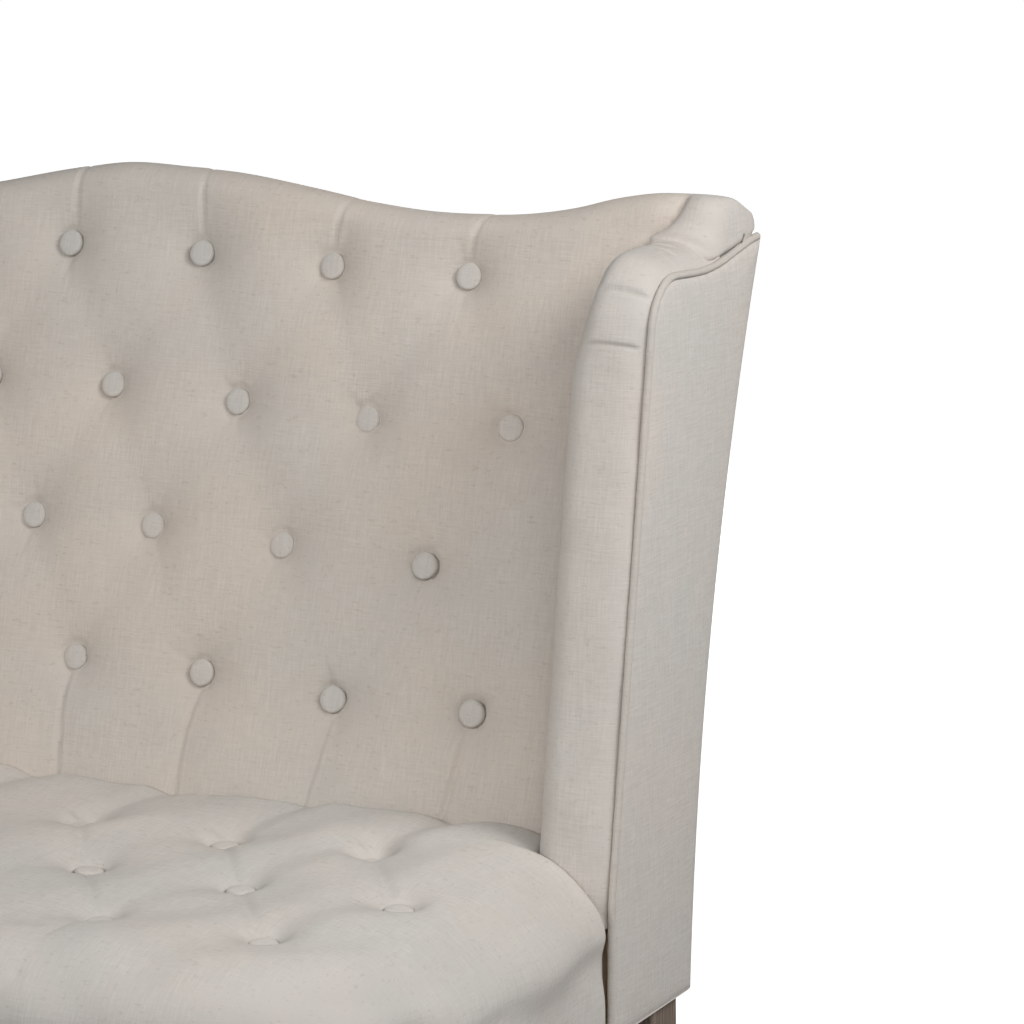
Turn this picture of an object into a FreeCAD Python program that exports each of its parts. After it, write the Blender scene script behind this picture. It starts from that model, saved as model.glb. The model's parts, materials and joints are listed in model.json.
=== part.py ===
import FreeCAD, Part
import Sketcher
import math
import os

# Winged settee with a button-tufted back and seat.
# Seen from the front, +X is to the right, +Y is to the back and +Z is up.
# The origin is on the floor, under the middle of the whole settee.

os.makedirs("parts", exist_ok=True)
doc = FreeCAD.newDocument("settee")

# Millimetres and degrees. A reach is measured forwards or backwards from the
# line through the lowest row of back buttons, and a height from the floor.
# The crest's rises and the drops of its wings, boards and posts are measured
# from the rear top of the wings, and the lifts from the frame under the seat.
driving_sizes = {
    "overall_width": 1580,
    "overall_height": 970,
    "seat_reach": 475,
    "seat_height": 488,
    "seat_thickness": 56,
    "lean_angle": 17.5,
    "back_thickness": 61.8,
    "back_thinnest_drop": 100,
    "back_reach_at_foot": 65.5,
    "back_button_rows": 4,
    "button_spacing": 125,
    "button_edge_margin": 80,
    "lowest_button_rise": 77,
    "top_button_drop": 35,
    "button_sides": 12,
    "button_width": 23,
    "button_rise": 6,
    "tuft_floor_radius": 13,
    "back_tuft_radius": 38,
    "back_tuft_depth": 11,
    "back_crown": 12,
    "back_pad_thickness": 48,
    "back_pad_lift": 18,
    "crest_end_height": 60,
    "tuck_radius": 6,
    "crest_roll_height": 40,
    "crest_roll_thickness": 69,
    "crest_roll_radius": 24,
    "crest_end_radius": 30,
    "crest_middle_rise": -8,
    "crest_hump_rise": 27.5,
    "crest_hump_place": 240,
    "crest_dip_rise": 4,
    "crest_dip_place": 525,
    "crest_wing_rise": 34,
    "crest_wing_inset": 55,
    "crest_rail_depth": 80,
    "back_frame_thickness": 17,
    "wing_thickness": 68,
    "wing_reach_at_seat": 88,
    "wing_bend_rise": 20,
    "wing_reach_at_top": 20,
    "wing_front_drop": 6,
    "wing_bend_reach": 14,
    "wing_shoulder_radius": 60,
    "wing_rounding": 18,
    "wing_board_thickness": 15,
    "wing_board_setback": 16,
    "wing_board_drop": 38,
    "outside_cover_thickness": 4,
    "outside_back_drop": 26,
    "post_thickness": 32,
    "post_depth": 52,
    "post_drop": 100,
    "rail_thickness": 24,
    "rail_height": 84,
    "cross_rail_place": 260,
    "lower_back_rail_lift": 72,
    "lower_back_rail_depth": 70,
    "seat_side_setback": 2,
    "seat_sag": 8,
    "seat_lip_height": 3,
    "seat_corner_radius": 170,
    "front_corner_depth": 54,
    "border_thickness": 16,
    "seat_tuft_depth": 22,
    "seat_tuft_radius": 44,
    "seat_button_margin": 95,
    "seat_button_spacing": 133,
    "seat_button_fan": 4,
    "seat_first_row_reach": 125,
    "seat_row_step": 112,
    "corner_button_turn": 22,
    "corner_button_lift": 10,
    "corner_tuft_radius": 22,
    "corner_tuft_depth": 12,
    "seat_channel_radius": 15,
    "seat_channel_depth": 8,
    "strap_width": 50,
    "strap_spacing": 130,
    "lengthwise_strap_spacing": 85,
    "strap_thickness": 2,
    "leg_top_width": 45,
    "leg_foot_width": 30,
    "rear_leg_splay": 34,
    "leg_edge_rounding": 3,
    "leg_plate_width": 36,
    "leg_plate_thickness": 3,
    "leg_bolt_diameter": 8,
    "leg_bolt_length": 70,
    "glide_width": 22,
    "glide_height": 4,
    "leg_setback": 6,
    "dowel_diameter": 8,
    "welt_diameter": 6.4,
    "dust_cover_thickness": 1.5,
    "ease": 0.3,
}

sheet = doc.addObject("Spreadsheet::Sheet", "sizes")
for row, (alias, value) in enumerate(driving_sizes.items(), start=1):
    sheet.set("A%d" % row, alias)
    sheet.set("B%d" % row, str(value))
    sheet.setAlias("B%d" % row, alias)
doc.recompute()


def size(alias):
    return float(getattr(sheet, alias))


def vector(x, y, z=0):
    return FreeCAD.Vector(x, y, z)


ease = size("ease")
lean = math.radians(size("lean_angle"))
half_width = size("overall_width") / 2
panel_inner_x = half_width - size("outside_cover_thickness")
board_inner_x = panel_inner_x - size("wing_board_thickness")
post_inner_x = board_inner_x - size("post_thickness")
rail_inner_x = board_inner_x - size("rail_thickness")
wing_inner_x = half_width - size("wing_thickness")
crest_reach_x = half_width - size("welt_diameter") - ease
seat_reach_x = half_width - size("seat_side_setback")
corner_x = seat_reach_x - size("seat_corner_radius")
board_setback = size("outside_cover_thickness") + 2

# Heights of the frame under the seat, and of the wings under the crest
seat_bottom = size("seat_height") - size("seat_thickness")
rail_top = seat_bottom - 2 * size("strap_thickness")
rail_bottom = rail_top - size("rail_height")
leg_top = rail_bottom - size("leg_plate_thickness")
cover_foot = leg_top + ease
seat_roll_radius = size("seat_thickness") - size("seat_sag") - size("seat_lip_height")
lowest_button_height = size("seat_height") + size("lowest_button_rise")
wing_back_height = size("overall_height") - size("crest_wing_rise")
wing_front_height = wing_back_height - size("wing_front_drop")
wing_board_top = wing_back_height - size("wing_board_drop")
post_top = wing_back_height - size("post_drop")

# In side view the rear face is an arc. Where the back is thinnest, it runs parallel
# to the leaning plane of the buttons, and from there it curves down to its foot.
thinnest_height = wing_back_height - size("back_thinnest_drop")
thinnest_lean = (thinnest_height - lowest_button_height) * math.tan(lean)
thinnest = vector(thinnest_lean + size("back_thickness") / math.cos(lean), thinnest_height)
rearwards = vector(math.cos(lean), -math.sin(lean))
to_foot = vector(size("back_reach_at_foot"), leg_top) - thinnest
rear_radius = to_foot.Length ** 2 / (2 * to_foot.dot(rearwards))
rear_centre = thinnest + rearwards * rear_radius


def rear_reach(height, setback=0):
    """Reach of the rear face at this height, or of the arc parallel to it and ahead of it."""
    rise = height - rear_centre.y
    return rear_centre.x - math.sqrt((rear_radius + setback) ** 2 - rise ** 2)


# Depths, with the origin halfway between the front face and the rear of the wings
back_reach = rear_reach(wing_back_height)
button_line_y = (size("seat_reach") - back_reach) / 2
front_face_y = button_line_y - size("seat_reach")
front_rail_y = front_face_y + size("border_thickness")
corner_y = front_face_y + size("seat_corner_radius")
wing_foot_y = button_line_y - size("wing_reach_at_seat")
wing_head_y = button_line_y - size("wing_reach_at_top")
seat_ear_y = wing_foot_y - size("welt_diameter") - 3 * ease
sides = (("left", -1), ("right", 1))

# The leaning frame has X across, Y up the slope of the back and Z out of its front.
leaning_place = FreeCAD.Placement(
    FreeCAD.Vector(0, button_line_y, lowest_button_height),
    FreeCAD.Rotation(FreeCAD.Vector(1, 0, 0), 90 - size("lean_angle")),
)

subparts = []


# Geometry helpers

def line(start, end):
    return Part.LineSegment(vector(*start), vector(*end))


def arc(start, middle, end):
    return Part.Arc(vector(*start), vector(*middle), vector(*end))


def chain(points):
    """Lines from each point to the next, left open."""
    return [line(start, end) for start, end in zip(points, points[1:])]


def polygon(points):
    return [line(start, end) for start, end in zip(points, points[1:] + points[:1])]


def mirrored(points):
    return [(-x, y) for x, y in reversed(points)]


def rounded_path(corners):
    """Lines and arcs through corners given as (x, y, radius), open at both ends."""
    edges = []
    start = corners[0][:2]
    for before, corner, after in zip(corners, corners[1:], corners[2:]):
        point = vector(*corner[:2])
        back = (vector(*before[:2]) - point).normalize()
        onward = (vector(*after[:2]) - point).normalize()
        half_angle = back.getAngle(onward) / 2
        reach = corner[2] / math.tan(half_angle)
        inward = (back + onward).normalize()
        first = point + back * reach
        last = point + onward * reach
        middle = point + inward * (corner[2] / math.sin(half_angle) - corner[2])
        edges.append(line(start, (first.x, first.y)))
        edges.append(Part.Arc(first, middle, last))
        start = (last.x, last.y)
    edges.append(line(start, corners[-1][:2]))
    return edges


def up_slope(height, out):
    """Distance up the slope of a point at this height, this far out of the button plane."""
    rise = height - lowest_button_height - out * math.sin(lean)
    return rise / math.cos(lean)


def slope_depth(height, out):
    """Depth of a point at this height, this far out of the button plane."""
    rise = height - lowest_button_height
    return button_line_y + rise * math.tan(lean) - out / math.cos(lean)


def columns(spacing, reach, staggered):
    """Places across the settee, a spacing apart and even about its middle."""
    places = []
    place = spacing / 2 if staggered else 0
    while place <= reach:
        places += [0] if place == 0 else [-place, place]
        place += spacing
    return sorted(places)


# Bodies, sketches and Part objects

def bind(item, name, value):
    """Give a property a number, or an expression that follows the sheet."""
    if isinstance(value, str):
        item.setExpression(name, value)
    else:
        setattr(item, name, value)


def new_body(label):
    body = doc.addObject("PartDesign::Body", label)
    body.Label = label
    return body


def sketch_on(body, role, edges, offset=0):
    plane = [item for item in body.Origin.OriginFeatures if item.Role == role][0]
    sketch = body.newObject("Sketcher::SketchObject", body.Name + "_sketch")
    sketch.AttachmentSupport = (plane, [""])
    sketch.MapMode = "FlatFace"
    sketch.AttachmentOffset = FreeCAD.Placement(vector(0, 0, offset), FreeCAD.Rotation())
    for edge in edges:
        sketch.addGeometry(edge, False)
    return sketch


def pad(body, sketch, length):
    feature = body.newObject("PartDesign::Pad", body.Name + "_pad")
    feature.Profile = sketch
    bind(feature, "Length", length)
    return feature


def pocket(body, sketch):
    """A cut right through the body, both ways from a sketch."""
    feature = body.newObject("PartDesign::Pocket", body.Name + "_pocket")
    feature.Profile = sketch
    feature.Type = 1
    feature.Midplane = True
    return feature


def plank(label, length, width, height, corner):
    """A straight sawn board from its low corner, with its sides bound to the sheet."""
    body = new_body(label)
    sketch = sketch_on(body, "XY_Plane", polygon([(0, 0), (10, 0), (10, 10), (0, 10)]))
    for index in range(4):
        sketch.addConstraint(Sketcher.Constraint("Coincident", index, 2, (index + 1) % 4, 1))
    for index, kind in enumerate(("Horizontal", "Vertical", "Horizontal", "Vertical")):
        sketch.addConstraint(Sketcher.Constraint(kind, index))
    sketch.addConstraint(Sketcher.Constraint("Coincident", 0, 1, -1, 1))
    for name, kind, edge, value in (("across", "DistanceX", 0, length), ("along", "DistanceY", 1, width)):
        start_value = 10 if isinstance(value, str) else value
        index = sketch.addConstraint(Sketcher.Constraint(kind, edge, 1, edge, 2, start_value))
        sketch.renameConstraint(index, name)
        if isinstance(value, str):
            sketch.setExpression("Constraints." + name, value)
    pad(body, sketch, height)
    body.Placement = FreeCAD.Placement(vector(*corner), FreeCAD.Rotation())
    return body


def board(label, role, edges, thickness, offset=0, place=None):
    """A board cut to an outline and as thick as the sheet says."""
    body = new_body(label)
    pad(body, sketch_on(body, role, edges, offset), thickness)
    if place is not None:
        body.Placement = place
    return body


def compound(label, items):
    group = doc.addObject("Part::Compound", label)
    group.Label = label
    group.Links = items
    return group


def cut(label, base, tool):
    item = doc.addObject("Part::Cut", label)
    item.Label = label
    item.Base = base
    item.Tool = tool
    return item


def common(label, items):
    item = doc.addObject("Part::MultiCommon", label)
    item.Label = label
    item.Shapes = items
    return item


def fuse(label, items):
    item = doc.addObject("Part::MultiFuse", label)
    item.Label = label
    item.Shapes = items
    item.Refine = True
    return item


def box(name, low, high):
    item = doc.addObject("Part::Box", name)
    item.Length = high[0] - low[0]
    item.Width = high[1] - low[1]
    item.Height = high[2] - low[2]
    item.Placement.Base = vector(*low)
    return item


def rod(name, start, direction, radius, length):
    item = doc.addObject("Part::Cylinder", name)
    item.Label = name
    bind(item, "Radius", radius)
    bind(item, "Height", length)
    turn = FreeCAD.Rotation(vector(0, 0, 1), vector(*direction))
    item.Placement = FreeCAD.Placement(vector(*start), turn)
    return item


def groove(name, place, radius, length):
    """A straight eight-sided bar that cuts a groove."""
    item = doc.addObject("Part::Prism", name)
    item.Polygon = 8
    item.Circumradius = radius
    item.Height = length
    item.Placement = place
    return item


def mirror(label, base):
    """The same piece for the other side of the settee."""
    item = doc.addObject("Part::Mirroring", label)
    item.Label = label
    item.Source = base
    item.Normal = vector(1, 0, 0)
    return item


def round_edges(body, outline, radius, test):
    """Round the edges of a body that run along an outline and pass a test of their height."""
    doc.recompute()
    ends = {flat(point) for edge in outline for point in (edge.StartPoint, edge.EndPoint)}
    chosen = []
    for index, edge in enumerate(body.Shape.Edges, start=1):
        points = [vertex.Point for vertex in edge.Vertexes]
        along = len({flat(point) for point in points}) == 2
        if along and all(flat(point) in ends and test(point.z) for point in points):
            chosen.append("Edge%d" % index)
    add_fillet(body, chosen, radius)


def add_fillet(body, chosen, radius):
    base = body.Tip
    fillet = body.newObject("PartDesign::Fillet", body.Name + "_rounding")
    fillet.Base = (base, chosen)
    fillet.setExpression("Radius", radius)


def flat(point):
    return (round(point.x, 2), round(point.y, 2))


# Outlines that several pieces share

def rear_depth(height, setback=0):
    return button_line_y + rear_reach(height, setback)


def rear_arc(high, low, setback=0):
    heights = (high, (low + high) / 2, low)
    return arc(*[(rear_depth(height, setback), height) for height in heights])


def wing_corners(foot, setback, front_top, back_top, rear_setback):
    """Corners of the wing's edge, from its foot over the shoulder to the rear top."""
    bend = seat_bottom + size("wing_bend_rise")
    half_turn = math.atan2(wing_head_y - wing_foot_y, front_top - bend) / 2
    return [
        (wing_foot_y + setback, foot, 0),
        (wing_foot_y + setback, bend, size("wing_bend_reach") / math.tan(half_turn)),
        (wing_head_y + setback, front_top, size("wing_shoulder_radius") - setback),
        (rear_depth(back_top, rear_setback), back_top, 0),
    ]


def wing_outline(foot, setback, front_top, back_top, rear_setback):
    """Closed side view of a wing piece: front edge, top, curved rear edge and foot."""
    corners = wing_corners(foot, setback, front_top, back_top, rear_setback)
    edges = rounded_path(corners)
    edges.append(rear_arc(back_top, foot, rear_setback))
    edges.append(line((rear_depth(foot, rear_setback), foot), corners[0][:2]))
    return edges


def crest_points(drop):
    """High and low points of the shaped crest, from left to right."""
    radius = size("crest_roll_radius")

    def slope(alias):
        height = wing_back_height + size(alias)
        return up_slope(height - radius, size("back_crown") - radius) + radius - drop

    right = [
        (0, slope("crest_middle_rise")),
        (size("crest_hump_place"), slope("crest_hump_rise")),
        (size("crest_dip_place"), slope("crest_dip_rise")),
        (half_width - size("crest_wing_inset"), slope("crest_wing_rise")),
    ]
    return mirrored(right[1:]) + right


def crest_wave(drop):
    """Pairs of arcs that roll level through each high and low point of the crest."""
    edges = []
    points = crest_points(drop)
    for (x, y), (next_x, next_y) in zip(points, points[1:]):
        run = (next_x - x) / 2
        rise = (next_y - y) / 2
        radius = (run ** 2 + rise ** 2) / (2 * abs(rise))
        half_turn = math.atan2(abs(rise), run)
        sag = math.copysign(radius * (1 - math.cos(half_turn)), rise)
        first = (x + radius * math.sin(half_turn), y + sag)
        second = (next_x - radius * math.sin(half_turn), next_y - sag)
        middle = (x + run, y + rise)
        edges.append(arc((x, y), first, middle))
        edges.append(arc(middle, second, (next_x, next_y)))
    return edges


def crest_strip(top_drop, bottom_drop, reach):
    """Closed front view of a strip that follows the crest at an even depth."""
    edges = crest_wave(top_drop) + crest_wave(bottom_drop)
    x, top = crest_points(top_drop)[-1]
    low = crest_points(bottom_drop)[-1][1]
    for side in (-1, 1):
        edges += chain([(side * x, top), (side * reach, top), (side * reach, low), (side * x, low)])
    return edges


def crest_ends(depth):
    """Rounded ends of the crest on both sides, down to a depth below it."""
    x, top = crest_points(0)[-1]
    edges = []
    for side in (-1, 1):
        edges += rounded_path([
            (side * x, top, 0),
            (side * crest_reach_x, top, size("crest_end_radius")),
            (side * crest_reach_x, top - depth, 0),
        ])
    return edges


def seat_plan(setback, rear_y):
    """Front and sides of the seat seen from above, with its large round corners."""
    reach = seat_reach_x - setback
    front = front_face_y + setback
    radius = size("seat_corner_radius") - setback
    return rounded_path([
        (reach, rear_y, 0),
        (reach, front, radius),
        (-reach, front, radius),
        (-reach, rear_y, 0),
    ])


# Places of the frame, the legs and their bolts

post_front_y = rear_depth(rail_bottom, board_setback) - size("post_depth")
rear_rail_y = post_front_y + size("rail_thickness") / 2
corner_outer = size("seat_corner_radius") - size("border_thickness") - ease
corner_middle = corner_outer - size("front_corner_depth") / 2
leg_inset = size("leg_setback") + size("leg_top_width") / 2
leg_places = {
    "front": (corner_x + corner_middle * math.sqrt(0.5), corner_y - corner_middle * math.sqrt(0.5)),
    "rear": (half_width - leg_inset, rear_depth(leg_top) - size("leg_setback") - leg_inset),
}


def bolt_hole(which, low):
    """The hole that takes the upper half of a leg bolt."""
    x, y = leg_places[which]
    radius = "sizes.leg_bolt_diameter / 2 + sizes.ease"
    return rod(which + "_bolt_hole", (x, y, low), (0, 0, 1), radius, size("leg_bolt_length") / 2 + 2 * ease)


# Hardwood frame

def make_seat_frame():
    """Rails, cross rails, curved front corners and rear corner blocks."""
    low = rail_bottom
    height = "sizes.rail_height"
    thickness = "sizes.rail_thickness"
    corner = (-corner_x, front_rail_y, low)
    subparts.append(plank("front_seat_rail", 2 * corner_x, thickness, height, corner))
    corner = (-post_inner_x, rear_rail_y, low)
    subparts.append(plank("rear_seat_rail", 2 * post_inner_x, thickness, height, corner))
    run = post_front_y - ease - corner_y
    side_rail = plank("right_seat_rail", thickness, run, height, (rail_inner_x, corner_y, low))
    subparts.extend([side_rail, mirror("left_seat_rail", side_rail)])

    start = front_rail_y + size("rail_thickness")
    for name, side in sides:
        low_x = side * size("cross_rail_place") - size("rail_thickness") / 2
        run = rear_rail_y - start
        subparts.append(plank(name + "_cross_rail", thickness, run, height, (low_x, start, low)))

    inner = corner_outer - size("front_corner_depth")

    def around(radius, degrees):
        angle = math.radians(degrees)
        return (corner_x + radius * math.cos(angle), corner_y - radius * math.sin(angle))

    edges = [
        arc(around(corner_outer, 0), around(corner_outer, 45), around(corner_outer, 90)),
        line(around(corner_outer, 90), around(inner, 90)),
        arc(around(inner, 90), around(inner, 45), around(inner, 0)),
        line(around(inner, 0), around(corner_outer, 0)),
    ]
    block = board("curved_corner", "XY_Plane", edges, height, low)
    corner = cut("right_front_corner", block, bolt_hole("front", low))
    subparts.extend([corner, mirror("left_front_corner", corner)])

    leg = 3 * size("rail_thickness")
    x, y = post_inner_x, rear_rail_y
    edges = polygon([(x, y), (x - leg, y), (x, y - leg)])
    block = board("right_corner_block", "XY_Plane", edges, height, low)
    subparts.extend([block, mirror("left_corner_block", block)])


def dowel_rods(label, radius, length, start_x):
    """Three dowels across the joint between a wing board and its post."""
    low, high = rail_top, post_top
    rods = []
    for index, share in enumerate((0.1, 0.5, 0.9)):
        height = low + share * (high - low)
        depth = rear_depth(height, board_setback + size("post_depth") / 2)
        rods.append(rod("%s_%d" % (label, index), (start_x, depth, height), (1, 0, 0), radius, length))
    return rods


def make_back_frame():
    """Curved posts in the wings, with the shaped crest rail and the lower rail across."""
    top = post_top
    low = rail_bottom
    depth = size("post_depth") + board_setback
    edges = [
        rear_arc(top, low, board_setback),
        line((rear_depth(low, board_setback), low), (rear_depth(low, depth), low)),
        rear_arc(top, low, depth),
        line((rear_depth(top, depth), top), (rear_depth(top, board_setback), top)),
    ]
    post = board("curved_post", "YZ_Plane", edges, "sizes.post_thickness", post_inner_x)
    radius = "sizes.dowel_diameter / 2 + sizes.ease"
    holes = dowel_rods("post_hole", radius, size("post_thickness"), post_inner_x)
    holes.append(bolt_hole("rear", low))
    post = cut("right_back_post", post, compound("post_holes", holes))
    subparts.extend([post, mirror("left_back_post", post)])

    thickness = "sizes.back_frame_thickness"
    front = size("back_crown") - size("back_pad_thickness") - size("strap_thickness")
    start = front - size("back_frame_thickness")
    drop = size("crest_roll_height") + ease
    edges = crest_strip(drop, drop + size("crest_rail_depth"), board_inner_x)
    subparts.append(board("crest_rail", "XY_Plane", edges, thickness, start, leaning_place))

    low = up_slope(rail_top + size("lower_back_rail_lift"), front)
    high = low + size("lower_back_rail_depth")
    x = post_inner_x
    edges = polygon([(-x, low), (x, low), (x, high), (-x, high)])
    subparts.append(board("lower_back_rail", "XY_Plane", edges, thickness, start, leaning_place))

    strap_top = crest_points(drop + size("crest_rail_depth") / 2)[3][1]
    half = size("strap_width") / 2
    straps = []
    for x in columns(size("strap_spacing"), post_inner_x - 2 * half, False):
        edges = polygon([(x - half, low), (x + half, low), (x + half, strap_top), (x - half, strap_top)])
        straps.append(board("back_strap", "XY_Plane", edges, "sizes.strap_thickness", front, leaning_place))
    subparts.append(compound("back_webbing", straps))


def make_wing_boards():
    """Shaped plywood sides of the wings, with the dowels that hold them to the posts."""
    top = wing_board_top
    edges = wing_outline(rail_bottom, size("wing_board_setback"), top, top, board_setback)
    wing = board("wing_side", "YZ_Plane", edges, "sizes.wing_board_thickness", board_inner_x)
    thickness = size("wing_board_thickness")
    radius = "sizes.dowel_diameter / 2 + sizes.ease"
    holes = dowel_rods("board_hole", radius, thickness, board_inner_x)
    wing = cut("right_wing_board", wing, compound("board_holes", holes))
    subparts.extend([wing, mirror("left_wing_board", wing)])
    length = size("post_thickness") + thickness
    rods = dowel_rods("dowel", "sizes.dowel_diameter / 2", length, post_inner_x)
    dowels = compound("right_wing_dowels", rods)
    subparts.extend([dowels, mirror("left_wing_dowels", dowels)])


def make_seat_webbing():
    """Straps across the side rails, with a second layer over them from front to back."""
    half = size("strap_width") / 2
    thickness = size("strap_thickness")
    straps = []
    depth = post_front_y - half
    while depth > corner_y + half:
        low = (-board_inner_x, depth - half, rail_top)
        straps.append(box("long_strap", low, (board_inner_x, depth + half, rail_top + thickness)))
        depth -= size("lengthwise_strap_spacing")
    subparts.append(compound("seat_webbing_lengthwise", straps))

    straps = []
    low_z = rail_top + thickness
    rear_y = rear_rail_y + size("rail_thickness")
    for x in columns(size("strap_spacing"), corner_x - half, False):
        low = (x - half, front_rail_y, low_z)
        straps.append(box("cross_strap", low, (x + half, rear_y, low_z + thickness)))
    subparts.append(compound("seat_webbing_crosswise", straps))


# Buttons and the hollows that they sink into

def placed(x, y, z, axis=(0, 0, 1)):
    turn = FreeCAD.Rotation(vector(0, 0, 1), vector(*axis))
    return FreeCAD.Placement(vector(x, y, z), turn)


def facets(name, place, rings):
    """A solid with flat facets between rings of corners, each given as (radius, height)."""
    count = int(size("button_sides"))
    angles = [2 * math.pi * index / count for index in range(count)]
    loops = []
    for radius, height in rings:
        loops.append([vector(radius * math.cos(turn), radius * math.sin(turn), height) for turn in angles])
    outlines = [loops[0], loops[-1]]
    for lower, upper in zip(loops, loops[1:]):
        for index in range(count):
            outlines.append([lower[index - 1], lower[index], upper[index], upper[index - 1]])
    faces = [Part.Face(Part.makePolygon(outline + outline[:1])) for outline in outlines]
    item = doc.addObject("Part::Feature", name)
    item.Shape = Part.makeSolid(Part.makeShell(faces))
    item.Placement = place
    return item


def button(name, place):
    """A covered button: a flat back and a low dome that is steepest at its rim."""
    radius, rise = size("button_width") / 2, size("button_rise")
    shares = ((1, 0), (0.85, 0.6), (0.4, 1))
    return facets(name, place, [(share * radius, up * rise) for share, up in shares])


def tuft(name, place, mouth_radius, depth):
    """The hollow round a button: a flat floor that widens to the cushion's surface."""
    floor = size("tuft_floor_radius")
    past = size("button_rise")
    mouth = floor + (mouth_radius - floor) * (depth + past) / depth
    return facets(name, place, [(floor, 0), (mouth, depth + past)])


def back_row_step():
    """Distance up the slope between rows of back buttons, up to the middle of the crest."""
    highest = crest_points(size("top_button_drop"))[3][1]
    return highest / (int(size("back_button_rows")) - 1)


def back_button_rows():
    """For each row, from the lowest, the places of its buttons on the tuft floors."""
    rows = []
    floor = size("back_crown") - size("back_tuft_depth")
    reach = wing_inner_x - size("button_edge_margin")
    for row in range(int(size("back_button_rows"))):
        slope = row * back_row_step()
        xs = columns(size("button_spacing"), reach, row % 2 == 1)
        rows.append([leaning_place.multiply(placed(x, slope, floor)) for x in xs])
    return rows


def seat_button_rows():
    """Three rows across the top of the seat, from the back."""
    rows = []
    floor = size("seat_height") - size("seat_tuft_depth")
    reach = seat_reach_x - size("seat_button_margin")
    for row in range(3):
        spacing = size("seat_button_spacing") + row * size("seat_button_fan")
        y = button_line_y - size("seat_first_row_reach") - row * size("seat_row_step")
        rows.append([placed(x, y, floor) for x in columns(spacing, reach, row % 2 == 0)])
    return rows


def corner_button_places():
    """One button on the rolled edge at each front corner of the seat."""
    turn = math.radians(size("corner_button_turn"))
    lift = math.radians(size("corner_button_lift"))
    inset = seat_roll_radius - size("corner_tuft_depth")
    reach = size("seat_corner_radius") - seat_roll_radius + inset * math.cos(lift)
    y = corner_y - reach * math.sin(turn)
    z = size("seat_height") - seat_roll_radius + inset * math.sin(lift)
    across, ahead = math.cos(lift) * math.cos(turn), math.cos(lift) * math.sin(turn)
    places = []
    for name, side in sides:
        x = side * (corner_x + reach * math.cos(turn))
        places.append(placed(x, y, z, (side * across, -ahead, math.sin(lift))))
    return places


def make_buttons():
    rows = [("back", row) for row in back_button_rows()]
    rows += [("seat", row) for row in seat_button_rows() + [corner_button_places()]]
    counts = {"back": 0, "seat": 0}
    for kind, places in rows:
        counts[kind] += 1
        name = "%s_buttons_row_%d" % (kind, counts[kind])
        subparts.append(compound(name, [button(name + "_button", place) for place in places]))


# Upholstery

def make_tufted_back():
    """Inside back: a thick leaning pad whose top rolls back over the crest rail."""
    body = new_body("back_cushion")
    front = size("back_crown")
    rear = front - size("back_pad_thickness")
    roll_rear = front - size("crest_roll_thickness")
    low = up_slope(seat_bottom + size("back_pad_lift"), front)
    inner_x = post_inner_x - ease
    wave_x, crest = crest_points(0)[-1]
    ear_low = crest - size("crest_end_height")
    edges = crest_wave(0) + crest_ends(size("crest_end_height")) + chain([
        (crest_reach_x, ear_low),
        (inner_x, ear_low),
        (inner_x, low),
        (-inner_x, low),
        (-inner_x, ear_low),
        (-crest_reach_x, ear_low),
    ])
    pad(body, sketch_on(body, "XY_Plane", edges, rear), "sizes.back_pad_thickness")

    roll_height = size("crest_roll_height")
    roll_low = crest - roll_height
    edges = crest_wave(0) + crest_ends(roll_height) + crest_wave(roll_height)
    for side in (-1, 1):
        edges.append(line((side * wave_x, roll_low), (side * crest_reach_x, roll_low)))
    roll = sketch_on(body, "XY_Plane", edges, roll_rear)
    pad(body, roll, "sizes.crest_roll_thickness - sizes.back_pad_thickness")

    def on_face(height):
        return abs(height - front) < ease or abs(height - roll_rear) < ease

    round_edges(body, crest_wave(0), "sizes.crest_roll_radius", on_face)
    body.Placement = leaning_place

    tools = []
    rows = back_button_rows()
    for place in sum(rows, []):
        tools.append(tuft("back_tuft", place, size("back_tuft_radius"), size("back_tuft_depth")))
    axis_out = front + size("tuck_radius") / 3
    step = back_row_step()
    tucks = ((rows[-1], (len(rows) - 1) * step, 2 * roll_height, 1), (rows[0], 0, step, -1))
    for row, slope, length, way in tucks:
        for place in row:
            start = leaning_place.multiply(placed(place.Base.x, slope, axis_out, (0, way, 0)))
            tools.append(groove("back_tuck", start, size("tuck_radius"), length))
    subparts.append(cut("tufted_back", body, fuse("back_tufts", tools)))


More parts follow.
